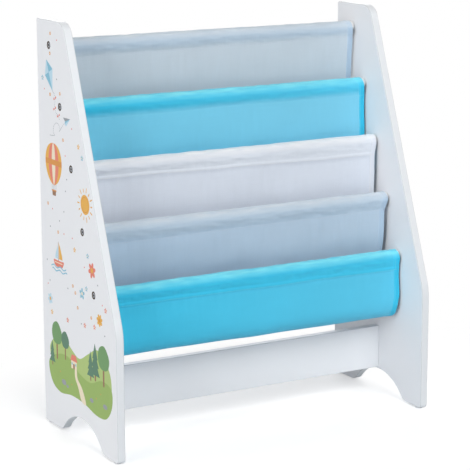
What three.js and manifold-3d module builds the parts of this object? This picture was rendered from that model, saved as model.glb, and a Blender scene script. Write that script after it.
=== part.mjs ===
// Child's sling bookshelf. Two shaped side boards are held apart by five round rods and
// one low rail, and a cloth sling sewn from five pieces hangs on the rods as four pockets.
// Millimetres, +Z up, front towards -Y, origin on the floor under the middle of the shelf.
import * as THREE from 'three';
import { mergeVertices } from 'three/addons/utils/BufferGeometryUtils.js';
import Module from 'manifold-3d';

const wasm = await Module();
wasm.setup();

// Whole shelf
const WIDTH = 630;
const DEPTH = 288;
const HEIGHT = 720;
const FIT_GAP = 0.3; // left between two pieces that touch
const OVERRUN = 2; // how far a cutter passes the face that it opens

// Side boards
const BOARD_THICKNESS = 15;
const TOP_EDGE_LENGTH = 105; // back edge to the point where top edge and slope would meet
const KINK_HEIGHT = 223; // floor to the bend between the slope and the upright front edge
const TOP_CORNER_RADIUS = 30;
const KINK_RADIUS = 90;
const HEEL_RADIUS = 5; // outer bottom corners of the feet
const TOP_BACK_RADIUS = 2.5;
const EDGE_ROUND = 1.5; // softened edge of every outline
const FRONT_FOOT_LENGTH = 46.5; // front edge to the start of the arch
const REAR_FOOT_LENGTH = 61.5;
const ARCH_RISE = 41.5; // soles to the crown of the arch
const FOOT_INNER_RADIUS = 20; // rounded corner where a sole turns into the arch

// Glides nailed under the feet
const GLIDE_DIAMETER = 14;
const GLIDE_HEIGHT = 2;
const GLIDE_EDGE = 0.6;
const GLIDE_NAIL_DIAMETER = 2.4;
const GLIDE_NAIL_LENGTH = 10;
const GLIDE_SETBACK = 14; // outer end of a foot to the middle of its glide

// Rods
const ROD_COUNT = 5;
const ROD_DIAMETER = 18;
const ROD_EDGE = 0.8;
const TOP_ROD_BACKSET = 48.3; // back edge to the axis of the top rod
const TOP_ROD_DROP = 42.3; // top edge to the axis of the top rod
const BOTTOM_ROD_SETBACK = 81.3; // front edge to the axis of the bottom rod
const BOTTOM_ROD_HEIGHT = 274.5;

// Bolts through the boards and threaded inserts in the rod ends
const BOLT_DIAMETER = 6;
const BOLT_ENGAGEMENT = 12; // length of thread inside the insert
const BOLT_HEAD_DIAMETER = 9;
const BOLT_HEAD_HEIGHT = 4.2;
const BOLT_HEAD_EDGE = 0.5;
const BOLT_HEAD_SINK = 0.3; // top of the head below the face of the board
const COUNTERBORE_DIAMETER = 13;
const SOCKET_WIDTH = 4.6; // across the corners of the hexagon socket
const SOCKET_DEPTH = 2.2;
const INSERT_DIAMETER = 10;
const INSERT_LENGTH = 15;

// Low rail and its fittings
const RAIL_THICKNESS = 15;
const RAIL_HEIGHT = 80;
const RAIL_OVER_ARCH = 3.5; // crown of the arch to the lower edge of the rail
const RAIL_BACKSET = 136.5; // back edge of the boards to the rear face of the rail
const RAIL_EDGE_ROUND = 1;
const CAM_DIAMETER = 15;
const CAM_HEIGHT = 12;
const CAM_SETBACK = 24; // end of the rail to the axis of the cam
const CAM_CROSS_LENGTH = 9;
const CAM_CROSS_WIDTH = 1.6;
const CAM_CROSS_DEPTH = 2;
const CAM_PIN_DIAMETER = 6;
const CAM_PIN_HEAD_DIAMETER = 7;
const CAM_PIN_HEAD_LENGTH = 3;
const CAM_PIN_NECK_DIAMETER = 4.5;
const CAM_PIN_NECK_LENGTH = 4;
const CAM_PIN_THREAD_DIAMETER = 5;
const CAM_PIN_THREAD_LENGTH = 10;
const DOWEL_DIAMETER = 8;
const DOWEL_LENGTH = 30;
const DOWEL_EDGE = 0.8;
const DOWEL_IN_BOARD = 9;
const DOWEL_OFFSET = 26; // above and below the middle of the rail

// Cloth sling
const CLOTH = 1.2; // doubled cloth at a hem
const SLING_SIDE_GAP = 3; // side board to the edge of the cloth
const SEAM_DROP = 24; // rod axis to the stitched line under its tunnel
const SEAM_HEIGHT = 6; // height over which the two layers lie together
const STITCH_HEIGHT = 2;
const STITCH_INSET = 3;
const TUNNEL_FULLNESS = 4.5; // how far the cloth stands off the front of its rod
const TUNNEL_BELLY_DROP = 4; // rod axis to the fullest line of the tunnel
const LEG_SPREAD = 2.5; // hanging cloth off the rod axis, to the front and to the back
const FRONT_SEAM_TUCK = 2; // seam of the front piece behind the fullest line of its tunnel
const FRONT_BELLY = 1; // front pocket's wall before the fullest line of its tunnel
const POCKET_DEPTH = 117; // front rod of a pocket to the lowest line of the pocket
const EASE_SHARE = 0.5; // Bezier handle over the drop of the stretch that it draws

// Roundness of turned pieces and curves
const ROD_SIDES = 24;
const SMALL_SIDES = 14;
const HEXAGON_SIDES = 6;
const OUTLINE_STEPS = 5;
const EDGE_STEPS = 2;
const CURVE_STEPS = 4;

// Finishes
const FINISHES = {
  board: { color: 0xe6e8ea, roughness: 0.45, metalness: 0 },
  rod: { color: 0xeff0f0, roughness: 0.4, metalness: 0 },
  steel: { color: 0xb4b6b8, roughness: 0.35, metalness: 0.9 },
  brass: { color: 0xb9975a, roughness: 0.4, metalness: 0.9 },
  zinc: { color: 0xa9abad, roughness: 0.5, metalness: 0.8 },
  dowel: { color: 0xc9a878, roughness: 0.8, metalness: 0 },
  glide: { color: 0xd8d9da, roughness: 0.5, metalness: 0 },
};
const SLING_COLOURS = [0xb2c2cf, 0x55b8dc, 0xd3d9e2, 0xa9bccb, 0x4bb6dc];

// Places worked out from the sizes above
const SOLE = GLIDE_HEIGHT + FIT_GAP;
const BACK = DEPTH / 2;
const FRONT = -DEPTH / 2;
const INNER_X = WIDTH / 2 - BOARD_THICKNESS;
const ROD_RADIUS = ROD_DIAMETER / 2;
const ROD_STEP_FORWARD = (DEPTH - TOP_ROD_BACKSET - BOTTOM_ROD_SETBACK) / (ROD_COUNT - 1);
const ROD_STEP_DOWN = (HEIGHT - TOP_ROD_DROP - BOTTOM_ROD_HEIGHT) / (ROD_COUNT - 1);
const ROD_END = INNER_X - FIT_GAP;
const COUNTERBORE_DEPTH = BOLT_HEAD_SINK + BOLT_HEAD_HEIGHT + FIT_GAP;
const INSERT_HOLE_DEPTH = INSERT_LENGTH + 2 * FIT_GAP;
const ARCH_FRONT = FRONT + FRONT_FOOT_LENGTH;
const ARCH_REAR = BACK - REAR_FOOT_LENGTH;
const CROWN = SOLE + ARCH_RISE;
const RAIL_Y = BACK - RAIL_BACKSET - RAIL_THICKNESS / 2;
const RAIL_BOTTOM = CROWN + RAIL_OVER_ARCH;
const RAIL_MIDDLE = RAIL_BOTTOM + RAIL_HEIGHT / 2;
const RAIL_END = INNER_X - FIT_GAP;
const CAM_X = RAIL_END - CAM_SETBACK;
const LOOP_RADIUS = ROD_RADIUS + FIT_GAP + CLOTH / 2;
const TUNNEL_FRONT = LOOP_RADIUS + TUNNEL_FULLNESS;
const LAYER_OFFSET = (CLOTH + FIT_GAP) / 2;
const SLING_WIDTH = 2 * (INNER_X - SLING_SIDE_GAP);

const SIDES = [
  { name: 'left', sign: -1 },
  { name: 'right', sign: 1 },
];

// A drawing of the side view has y to the right and z up; its thickness runs along X.
const SIDE_VIEW = new THREE.Matrix4().makeBasis(
  new THREE.Vector3(0, 1, 0),
  new THREE.Vector3(0, 0, 1),
  new THREE.Vector3(1, 0, 0),
);

const group = new THREE.Group();

function addMesh(name, geometry, finish) {
  const mesh = new THREE.Mesh(geometry, new THREE.MeshStandardMaterial(finish));
  mesh.name = name;
  group.add(mesh);
  return mesh;
}

// Closed mesh to solid and back, for cuts and joins
function toSolid(geometry) {
  const bare = geometry.clone();
  bare.deleteAttribute('normal');
  bare.deleteAttribute('uv');
  const merged = mergeVertices(bare);
  const corners = Array.from(merged.index.array);
  const triVerts = [];
  for (let i = 0; i < corners.length; i += 3) {
    const [a, b, c] = corners.slice(i, i + 3);
    if (a !== b && b !== c && c !== a) triVerts.push(a, b, c);
  }
  return new wasm.Manifold(new wasm.Mesh({
    numProp: 3,
    vertProperties: new Float32Array(merged.attributes.position.array),
    triVerts: new Uint32Array(triVerts),
  }));
}

function toGeometry(solid) {
  const { vertProperties, triVerts } = solid.getMesh();
  const geometry = new THREE.BufferGeometry();
  geometry.setAttribute('position', new THREE.BufferAttribute(new Float32Array(vertProperties), 3));
  geometry.setIndex(new THREE.BufferAttribute(new Uint32Array(triVerts), 1));
  geometry.computeVertexNormals();
  return geometry;
}

function cut(geometry, cutters) {
  return toGeometry(cutters.reduce((solid, cutter) => solid.subtract(toSolid(cutter)), toSolid(geometry)));
}

// Round bar or drill along X, from one x to another
function barAlongX(diameter, fromX, toX, y, z, sides = SMALL_SIDES) {
  const length = Math.abs(toX - fromX);
  return new THREE.CylinderGeometry(diameter / 2, diameter / 2, length, sides)
    .rotateZ(Math.PI / 2)
    .translate((fromX + toX) / 2, y, z);
}

// Profile of [radius, place] pairs turned round the X axis, or round Z for upright pieces
function turnedAlongX(profile, sides = SMALL_SIDES) {
  return turnedAlongY(profile, sides).rotateZ(-Math.PI / 2);
}

function turnedAlongZ(profile, sides = SMALL_SIDES) {
  return turnedAlongY(profile, sides).rotateX(Math.PI / 2);
}

function turnedAlongY(profile, sides) {
  return new THREE.LatheGeometry(profile.map(([radius, place]) => new THREE.Vector2(radius, place)), sides);
}

function rodAxis(index) {
  return new THREE.Vector2(
    BACK - TOP_ROD_BACKSET - index * ROD_STEP_FORWARD,
    HEIGHT - TOP_ROD_DROP - index * ROD_STEP_DOWN,
  );
}

// Draws on to a rounded corner, from where the path is towards the next corner
function roundCorner(path, from, corner, next, radius) {
  const back = from.clone().sub(corner).normalize();
  const ahead = next.clone().sub(corner).normalize();
  const half = Math.acos(back.dot(ahead)) / 2;
  const bisector = back.clone().add(ahead).normalize();
  const centre = corner.clone().addScaledVector(bisector, radius / Math.sin(half));
  const start = corner.clone().addScaledVector(back, radius / Math.tan(half)).sub(centre);
  const end = corner.clone().addScaledVector(ahead, radius / Math.tan(half)).sub(centre);
  path.absarc(centre.x, centre.y, radius, start.angle(), end.angle(), false);
}

// Outline through rounded corners, left open between the last corner and the first
function roundedOutline(corners) {
  const outline = new THREE.Shape();
  corners.forEach(({ at, radius }, i) => {
    const from = corners[(i + corners.length - 1) % corners.length].at;
    const next = corners[(i + 1) % corners.length].at;
    roundCorner(outline, from, at, next, radius);
  });
  return outline;
}

// Side boards: back edge upright, front edge sloped above the kink, feet either side of an arch
function boardOutline() {
  const outline = roundedOutline([
    { at: new THREE.Vector2(BACK, SOLE), radius: HEEL_RADIUS },
    { at: new THREE.Vector2(BACK, HEIGHT), radius: TOP_BACK_RADIUS },
    { at: new THREE.Vector2(BACK - TOP_EDGE_LENGTH, HEIGHT), radius: TOP_CORNER_RADIUS },
    { at: new THREE.Vector2(FRONT, KINK_HEIGHT), radius: KINK_RADIUS },
    { at: new THREE.Vector2(FRONT, SOLE), radius: HEEL_RADIUS },
  ]);

  const half = (ARCH_REAR - ARCH_FRONT) / 2;
  const middle = (ARCH_REAR + ARCH_FRONT) / 2;
  const crownRadius = (half * half + ARCH_RISE * ARCH_RISE) / (2 * ARCH_RISE) - FOOT_INNER_RADIUS;
  const lean = Math.atan2(ARCH_RISE - crownRadius - FOOT_INNER_RADIUS, half);
  const footCentre = SOLE + FOOT_INNER_RADIUS;
  const down = -Math.PI / 2;
  outline.absarc(ARCH_FRONT, footCentre, FOOT_INNER_RADIUS, down, lean, false);
  outline.absarc(middle, CROWN - crownRadius, crownRadius, Math.PI + lean, -lean, true);
  outline.absarc(ARCH_REAR, footCentre, FOOT_INNER_RADIUS, Math.PI - lean, down, false);
  return outline;
}

const GLIDE_PLACES = [
  { name: 'front', y: FRONT + GLIDE_SETBACK },
  { name: 'rear', y: BACK - GLIDE_SETBACK },
];
const DOWEL_PLACES = [
  { name: 'upper', z: RAIL_MIDDLE + DOWEL_OFFSET },
  { name: 'lower', z: RAIL_MIDDLE - DOWEL_OFFSET },
];

for (const { name, sign } of SIDES) {
  const middle = INNER_X + BOARD_THICKNESS / 2;
  const outer = WIDTH / 2;
  const blank = new THREE.ExtrudeGeometry(boardOutline(), {
    depth: BOARD_THICKNESS - 2 * EDGE_ROUND,
    curveSegments: OUTLINE_STEPS,
    bevelThickness: EDGE_ROUND,
    bevelSize: EDGE_ROUND,
    bevelOffset: -EDGE_ROUND,
    bevelSegments: EDGE_STEPS,
  })
    .translate(0, 0, EDGE_ROUND - BOARD_THICKNESS / 2)
    .applyMatrix4(SIDE_VIEW)
    .translate(sign * middle, 0, 0);

  const cutters = [];
  for (let i = 0; i < ROD_COUNT; i += 1) {
    const { x: y, y: z } = rodAxis(i);
    const shaft = BOLT_DIAMETER + 2 * FIT_GAP;
    cutters.push(barAlongX(shaft, sign * (INNER_X - OVERRUN), sign * (outer + OVERRUN), y, z));
    cutters.push(barAlongX(
      COUNTERBORE_DIAMETER,
      sign * (outer - COUNTERBORE_DEPTH),
      sign * (outer + OVERRUN),
      y,
      z,
    ));
  }
  for (const { z } of DOWEL_PLACES) {
    const depth = DOWEL_IN_BOARD + FIT_GAP;
    const hole = DOWEL_DIAMETER + 2 * FIT_GAP;
    cutters.push(barAlongX(hole, sign * (INNER_X - OVERRUN), sign * (INNER_X + depth), RAIL_Y, z));
  }
  cutters.push(barAlongX(
    CAM_PIN_THREAD_DIAMETER + 2 * FIT_GAP,
    sign * (INNER_X - OVERRUN),
    sign * (INNER_X + CAM_PIN_THREAD_LENGTH + FIT_GAP),
    RAIL_Y,
    RAIL_MIDDLE,
  ));
  for (const { y } of GLIDE_PLACES) {
    const depth = GLIDE_NAIL_LENGTH + FIT_GAP;
    const radius = GLIDE_NAIL_DIAMETER / 2 + FIT_GAP;
    cutters.push(new THREE.CylinderGeometry(radius, radius, depth + OVERRUN, SMALL_SIDES)
      .rotateX(Math.PI / 2)
      .translate(sign * middle, y, SOLE + (depth - OVERRUN) / 2));
  }
  addMesh(`side_board_${name}`, cut(blank, cutters), FINISHES.board);
}

// Glides: a plastic disc with a nail moulded in
for (const { name: side, sign } of SIDES) {
  for (const { name: end, y } of GLIDE_PLACES) {
    const radius = GLIDE_DIAMETER / 2;
    const nail = GLIDE_NAIL_DIAMETER / 2;
    const geometry = turnedAlongZ([
      [0, 0],
      [radius - GLIDE_EDGE, 0],
      [radius, GLIDE_EDGE],
      [radius, GLIDE_HEIGHT],
      [nail, GLIDE_HEIGHT],
      [nail, SOLE + GLIDE_NAIL_LENGTH - GLIDE_NAIL_DIAMETER],
      [0, SOLE + GLIDE_NAIL_LENGTH],
    ]);
    const glide = addMesh(`foot_glide_${end}_${side}`, geometry, FINISHES.glide);
    glide.position.set(sign * (INNER_X + BOARD_THICKNESS / 2), y, 0);
  }
}

// Rods, bored at both ends for the inserts
for (let i = 0; i < ROD_COUNT; i += 1) {
  const bore = INSERT_DIAMETER / 2 + FIT_GAP;
  const boreEnd = ROD_END - INSERT_HOLE_DEPTH;
  const half = [
    [0, boreEnd],
    [bore, boreEnd],
    [bore, ROD_END],
    [ROD_RADIUS - ROD_EDGE, ROD_END],
    [ROD_RADIUS, ROD_END - ROD_EDGE],
  ];
  const otherHalf = half.map(([radius, place]) => [radius, -place]);
  const geometry = turnedAlongX([...otherHalf, ...half.reverse()], ROD_SIDES);
  const rod = addMesh(`rod_${i + 1}`, geometry, FINISHES.rod);
  rod.position.set(0, rodAxis(i).x, rodAxis(i).y);
}

// Threaded inserts and hexagon-socket bolts that hold the rods, drawn for the right side
const INSERT_PROFILE = [
  [BOLT_DIAMETER / 2 + FIT_GAP, ROD_END - FIT_GAP - INSERT_LENGTH],
  [INSERT_DIAMETER / 2, ROD_END - FIT_GAP - INSERT_LENGTH],
  [INSERT_DIAMETER / 2, ROD_END - FIT_GAP],
  [BOLT_DIAMETER / 2 + FIT_GAP, ROD_END - FIT_GAP],
  [BOLT_DIAMETER / 2 + FIT_GAP, ROD_END - FIT_GAP - INSERT_LENGTH],
];
const HEAD_TOP = WIDTH / 2 - BOLT_HEAD_SINK;
const BOLT_TIP = ROD_END - BOLT_ENGAGEMENT;
const BOLT_PROFILE = [
  [0, BOLT_TIP],
  [BOLT_DIAMETER / 2 - BOLT_HEAD_EDGE, BOLT_TIP],
  [BOLT_DIAMETER / 2, BOLT_TIP + BOLT_HEAD_EDGE],
  [BOLT_DIAMETER / 2, HEAD_TOP - BOLT_HEAD_HEIGHT],
  [BOLT_HEAD_DIAMETER / 2, HEAD_TOP - BOLT_HEAD_HEIGHT],
  [BOLT_HEAD_DIAMETER / 2, HEAD_TOP - BOLT_HEAD_EDGE],
  [BOLT_HEAD_DIAMETER / 2 - BOLT_HEAD_EDGE, HEAD_TOP],
  [0, HEAD_TOP],
];
const BOLT_GEOMETRY = cut(turnedAlongX(BOLT_PROFILE), [
  barAlongX(SOCKET_WIDTH, HEAD_TOP - SOCKET_DEPTH, HEAD_TOP + OVERRUN, 0, 0, HEXAGON_SIDES),
]);

for (const { name: side, sign } of SIDES) {
  for (let i = 0; i < ROD_COUNT; i += 1) {
    const pieces = [
      addMesh(`rod_insert_${i + 1}_${side}`, turnedAlongX(INSERT_PROFILE), FINISHES.brass),
      addMesh(`rod_bolt_${i + 1}_${side}`, BOLT_GEOMETRY.clone(), FINISHES.steel),
    ];
    for (const piece of pieces) {
      piece.position.set(0, rodAxis(i).x, rodAxis(i).y);
      piece.rotation.z = sign > 0 ? 0 : Math.PI;
    }
  }
}

// Low rail, bored from behind for the cams and from its ends for pins and dowels
function lowRail() {
  const rear = RAIL_Y + RAIL_THICKNESS / 2;
  const front = RAIL_Y - RAIL_THICKNESS / 2;
  const top = RAIL_BOTTOM + RAIL_HEIGHT;
  const outline = roundedOutline([
    { at: new THREE.Vector2(rear, RAIL_BOTTOM), radius: RAIL_EDGE_ROUND },
    { at: new THREE.Vector2(rear, top), radius: RAIL_EDGE_ROUND },
    { at: new THREE.Vector2(front, top), radius: RAIL_EDGE_ROUND },
    { at: new THREE.Vector2(front, RAIL_BOTTOM), radius: RAIL_EDGE_ROUND },
  ]);
  const board = new THREE.ExtrudeGeometry(outline, {
    depth: 2 * RAIL_END,
    curveSegments: EDGE_STEPS,
    bevelEnabled: false,
  })
    .translate(0, 0, -RAIL_END)
    .applyMatrix4(SIDE_VIEW);

  const cutters = [];
  for (const { sign } of SIDES) {
    const camRadius = CAM_DIAMETER / 2 + FIT_GAP;
    const camDepth = CAM_HEIGHT + FIT_GAP;
    cutters.push(new THREE.CylinderGeometry(camRadius, camRadius, camDepth + OVERRUN, SMALL_SIDES)
      .translate(sign * CAM_X, rear - (camDepth - OVERRUN) / 2, RAIL_MIDDLE));
    const pinHole = CAM_PIN_HEAD_DIAMETER + 2 * FIT_GAP;
    cutters.push(barAlongX(pinHole, sign * CAM_X, sign * (RAIL_END + OVERRUN), RAIL_Y, RAIL_MIDDLE));
    const dowelEnd = INNER_X + DOWEL_IN_BOARD - DOWEL_LENGTH - FIT_GAP;
    const dowelHole = DOWEL_DIAMETER + 2 * FIT_GAP;
    for (const { z } of DOWEL_PLACES) {
      cutters.push(barAlongX(dowelHole, sign * dowelEnd, sign * (RAIL_END + OVERRUN), RAIL_Y, z));
    }
  }
  return cut(board, cutters);
}
addMesh('low_rail', lowRail(), FINISHES.board);

// Cam, its pin and the two dowels at each end of the rail, drawn for the right side
function railCam() {
  const cam = new THREE.CylinderGeometry(CAM_DIAMETER / 2, CAM_DIAMETER / 2, CAM_HEIGHT, SMALL_SIDES)
    .translate(0, (RAIL_THICKNESS - CAM_HEIGHT) / 2, 0);
  const face = RAIL_THICKNESS / 2;
  const pinHole = CAM_PIN_HEAD_DIAMETER + 2 * FIT_GAP;
  const slotDepth = CAM_CROSS_DEPTH + OVERRUN;
  const slotY = face - CAM_CROSS_DEPTH + slotDepth / 2;
  return cut(cam, [
    barAlongX(pinHole, -CAM_PIN_HEAD_LENGTH, CAM_DIAMETER / 2 + OVERRUN, 0, 0),
    new THREE.BoxGeometry(CAM_CROSS_LENGTH, slotDepth, CAM_CROSS_WIDTH).translate(0, slotY, 0),
    new THREE.BoxGeometry(CAM_CROSS_WIDTH, slotDepth, CAM_CROSS_LENGTH).translate(0, slotY, 0),
  ]);
}

const PIN_TIP = CAM_X - CAM_PIN_HEAD_LENGTH + FIT_GAP;
const PIN_NECK = PIN_TIP + CAM_PIN_HEAD_LENGTH;
const PIN_PROFILE = [
  [0, PIN_TIP],
  [CAM_PIN_HEAD_DIAMETER / 2, PIN_TIP],
  [CAM_PIN_HEAD_DIAMETER / 2, PIN_NECK],
  [CAM_PIN_NECK_DIAMETER / 2, PIN_NECK],
  [CAM_PIN_NECK_DIAMETER / 2, PIN_NECK + CAM_PIN_NECK_LENGTH],
  [CAM_PIN_DIAMETER / 2, PIN_NECK + CAM_PIN_NECK_LENGTH],
  [CAM_PIN_DIAMETER / 2, INNER_X - FIT_GAP],
  [CAM_PIN_THREAD_DIAMETER / 2, INNER_X - FIT_GAP],
  [CAM_PIN_THREAD_DIAMETER / 2, INNER_X + CAM_PIN_THREAD_LENGTH],
  [0, INNER_X + CAM_PIN_THREAD_LENGTH],
];
const DOWEL_OUTER_END = INNER_X + DOWEL_IN_BOARD;
const DOWEL_PROFILE = [
  [0, DOWEL_OUTER_END - DOWEL_LENGTH],
  [DOWEL_DIAMETER / 2 - DOWEL_EDGE, DOWEL_OUTER_END - DOWEL_LENGTH],
  [DOWEL_DIAMETER / 2, DOWEL_OUTER_END - DOWEL_LENGTH + DOWEL_EDGE],
  [DOWEL_DIAMETER / 2, DOWEL_OUTER_END - DOWEL_EDGE],
  [DOWEL_DIAMETER / 2 - DOWEL_EDGE, DOWEL_OUTER_END],
  [0, DOWEL_OUTER_END],
];

for (const { name: side, sign } of SIDES) {
  const turn = sign > 0 ? 0 : Math.PI;
  const cam = addMesh(`rail_cam_${side}`, railCam(), FINISHES.zinc);
  cam.position.set(sign * CAM_X, RAIL_Y, RAIL_MIDDLE);
  cam.rotation.y = turn;
  const pin = addMesh(`rail_cam_pin_${side}`, turnedAlongX(PIN_PROFILE), FINISHES.steel);
  pin.position.set(0, RAIL_Y, RAIL_MIDDLE);
  pin.rotation.z = turn;
  for (const { name: level, z } of DOWEL_PLACES) {
    const dowel = addMesh(`rail_dowel_${level}_${side}`, turnedAlongX(DOWEL_PROFILE), FINISHES.dowel);
    dowel.position.set(0, RAIL_Y, z);
    dowel.rotation.z = turn;
  }
}

// Pocket between rod i and rod i + 1: where its two walls hang and where its bottom turns
function pocket(index) {
  const rear = rodAxis(index);
  const front = rodAxis(index + 1);
  const isFrontPocket = index === ROD_COUNT - 2;
  const backWall = rear.x - LEG_SPREAD;
  const frontWall = isFrontPocket ? front.x - TUNNEL_FRONT - FRONT_BELLY : front.x + LEG_SPREAD;
  const lowest = front.y - POCKET_DEPTH + CLOTH / 2;
  const radius = (backWall - frontWall) / 2;
  return { backWall, frontWall, radius, turn: lowest + radius, middle: (backWall + frontWall) / 2 };
}

// Upright, eased stretch of cloth from where the path is to the given point
function hang(path, y, z) {
  const from = path.currentPoint.clone();
  const handle = (from.y - z) * EASE_SHARE;
  path.bezierCurveTo(from.x, from.y - handle, y, z + handle, y, z);
}

// Middle line of one sling piece: rear leg or hem, tunnel round the rod, front leg
function slingLine(index) {
  const rod = rodAxis(index);
  const isFirst = index === 0;
  const isLast = index === ROD_COUNT - 1;
  const seamY = isLast ? rod.x - TUNNEL_FRONT + LAYER_OFFSET + FRONT_SEAM_TUCK : rod.x;
  const seamTop = rod.y - SEAM_DROP + SEAM_HEIGHT / 2;
  const seamBottom = seamTop - SEAM_HEIGHT;
  const quarter = Math.PI / 2;
  const line = new THREE.Path();

  if (isFirst || isLast) {
    line.moveTo(seamY + LAYER_OFFSET, seamBottom);
  } else {
    const { middle, turn, radius, frontWall } = pocket(index - 1);
    line.absarc(middle - FIT_GAP / 2, turn, radius - FIT_GAP / 2, -quarter, -2 * quarter, true);
    line.currentPoint.set(frontWall, turn);
    hang(line, seamY + LAYER_OFFSET, seamBottom);
  }
  line.lineTo(seamY + LAYER_OFFSET, seamTop);

  const seamFromRod = new THREE.Vector2(seamY + LAYER_OFFSET, seamTop).sub(rod);
  const tangent = seamFromRod.angle() + Math.acos(LOOP_RADIUS / seamFromRod.length());
  line.absarc(rod.x, rod.y, LOOP_RADIUS, tangent, quarter, false);
  const bellyZ = rod.y - TUNNEL_BELLY_DROP;
  line.absellipse(rod.x, bellyZ, TUNNEL_FRONT, LOOP_RADIUS + TUNNEL_BELLY_DROP, quarter, 2 * quarter);
  line.currentPoint.set(rod.x - TUNNEL_FRONT, bellyZ);
  hang(line, seamY - LAYER_OFFSET, seamTop);
  line.lineTo(seamY - LAYER_OFFSET, seamBottom);

  const { middle, turn, radius, backWall, frontWall } = pocket(isLast ? index - 1 : index);
  hang(line, isLast ? frontWall : backWall, turn);
  const end = radius - FIT_GAP / 2;
  if (isLast) line.absarc(middle - FIT_GAP / 2, turn, end, 2 * quarter, 3 * quarter, false);
  else line.absarc(middle + FIT_GAP / 2, turn, end, 0, -quarter, true);
  return { points: line.getPoints(CURVE_STEPS), seamY, seamZ: rod.y - SEAM_DROP };
}

// Cloth of even thickness along a line
function clothShape(points) {
  const edge = (side) => points.map((point, i) => {
    const before = points[Math.max(i - 1, 0)];
    const after = points[Math.min(i + 1, points.length - 1)];
    const along = after.clone().sub(before).normalize();
    return point.clone().add(new THREE.Vector2(-along.y, along.x).multiplyScalar(side * CLOTH / 2));
  });
  return new THREE.Shape([...edge(1), ...edge(-1).reverse()]);
}

// Sling pieces, top to bottom, each closed round its rod by a line of stitches
for (let i = 0; i < ROD_COUNT; i += 1) {
  const { points, seamY, seamZ } = slingLine(i);
  const cloth = new THREE.ExtrudeGeometry(clothShape(points), { depth: SLING_WIDTH, bevelEnabled: false })
    .translate(0, 0, -SLING_WIDTH / 2)
    .applyMatrix4(SIDE_VIEW);
  const stitches = new THREE.BoxGeometry(SLING_WIDTH - 2 * STITCH_INSET, 2 * LAYER_OFFSET, STITCH_HEIGHT)
    .translate(0, seamY, seamZ);
  const geometry = toGeometry(toSolid(cloth).add(toSolid(stitches)));
  addMesh(`sling_piece_${i + 1}`, geometry, { color: SLING_COLOURS[i], roughness: 0.85, metalness: 0 });
}

export default group;
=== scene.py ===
# Child's sling bookshelf: the finish of every piece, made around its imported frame.
# Metres, +Z up, front towards -Y, origin on the floor under the middle of the shelf.
import math

import bmesh
import bpy
import numpy as np
from mathutils import Matrix, Vector, noise


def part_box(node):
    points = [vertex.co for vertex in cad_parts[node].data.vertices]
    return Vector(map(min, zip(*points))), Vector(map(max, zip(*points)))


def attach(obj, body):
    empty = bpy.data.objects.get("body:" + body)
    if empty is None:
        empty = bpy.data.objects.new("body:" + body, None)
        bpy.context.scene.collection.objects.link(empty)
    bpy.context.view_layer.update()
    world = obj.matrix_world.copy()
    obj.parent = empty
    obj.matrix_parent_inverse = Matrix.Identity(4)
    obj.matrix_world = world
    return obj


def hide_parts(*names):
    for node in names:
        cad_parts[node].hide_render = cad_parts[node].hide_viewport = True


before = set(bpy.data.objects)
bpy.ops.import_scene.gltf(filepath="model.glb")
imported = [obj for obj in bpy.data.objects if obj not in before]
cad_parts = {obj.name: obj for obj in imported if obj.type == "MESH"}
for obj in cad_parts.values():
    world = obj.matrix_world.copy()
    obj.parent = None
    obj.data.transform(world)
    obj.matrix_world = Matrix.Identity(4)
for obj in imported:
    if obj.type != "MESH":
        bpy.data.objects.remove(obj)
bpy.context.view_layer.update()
scene = bpy.context.scene
scene.view_settings.view_transform = "Standard"

# Camera
# The shelf is seen from its left and a little from above, through a long lens, so that the
# printed outside of the left board and the fronts of all the pockets show.
CAMERA_TURN = math.radians(-30.003)
CAMERA_PITCH = math.radians(12.194)
CAMERA_ROLL = math.radians(-0.102)
CAMERA_DISTANCE = 3.343584
CAMERA_AIM_ASIDE = -0.005176
CAMERA_AIM_HEIGHT = 0.33168
CAMERA_LENS = 144.5
CAMERA_REACH = 60.0

aside = Vector((math.cos(CAMERA_TURN), math.sin(CAMERA_TURN), 0))
away = Vector((
    math.sin(CAMERA_TURN) * math.cos(CAMERA_PITCH),
    -math.cos(CAMERA_TURN) * math.cos(CAMERA_PITCH),
    math.sin(CAMERA_PITCH),
))
across = math.cos(CAMERA_ROLL) * aside + math.sin(CAMERA_ROLL) * away.cross(aside)
facing = Matrix((across, away.cross(across), away)).transposed().to_4x4()
aim = CAMERA_AIM_ASIDE * aside + Vector((0, 0, CAMERA_AIM_HEIGHT))
camera = bpy.data.objects.new("camera", bpy.data.cameras.new("camera"))
scene.collection.objects.link(camera)
camera.matrix_world = Matrix.Translation(aim + CAMERA_DISTANCE * away) @ facing
camera.data.lens = CAMERA_LENS
camera.data.clip_end = CAMERA_REACH
scene.camera = camera

# Side boards
# Two 15 mm fibreboards of one outline, with a sloped front edge and an arch between their feet.
# White foil covers faces and edges; the bolt holes are counterbored from outside, and the raw
# board shows in them, its inks darkened as a painted shade in the holes. The inner faces are
# bored for the dowels and pins of the rail.
board_low, board_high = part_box("side_board_right")
INNER_X, OUTER_X = board_low.x, board_high.x
TOP_EDGE_LENGTH = 0.105
KINK_HEIGHT = 0.223
TOP_CORNER_RADIUS = 0.030
KINK_RADIUS = 0.090
HEEL_RADIUS = 0.005
TOP_BACK_RADIUS = 0.0025
FRONT_FOOT_LENGTH = 0.0465
REAR_FOOT_LENGTH = 0.0615
ARCH_RISE = 0.0415
FOOT_INNER_RADIUS = 0.020
BOARD_EDGE_ROUND = 0.0015
COUNTERBORE_RADIUS = 0.0065
COUNTERBORE_DEPTH = 0.0048
COUNTERBORE_LIP = 0.0003
BOLT_SHAFT_RADIUS = 0.003
PIN_THREAD_RADIUS = 0.0025
NAIL_RADIUS = 0.0012
FIT_GAP = 0.0003
OVERRUN = 0.002
EDGE_STEPS = 4
DEGREES_A_STEP = 4
TURNED_STEPS = 48
SHARP_ANGLE = math.radians(30)
SQUARE_SHARE = 0.9
ROUNDING_SHADE_SHARE = 0.12
FOIL_CLOUDS = 6.0
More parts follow.
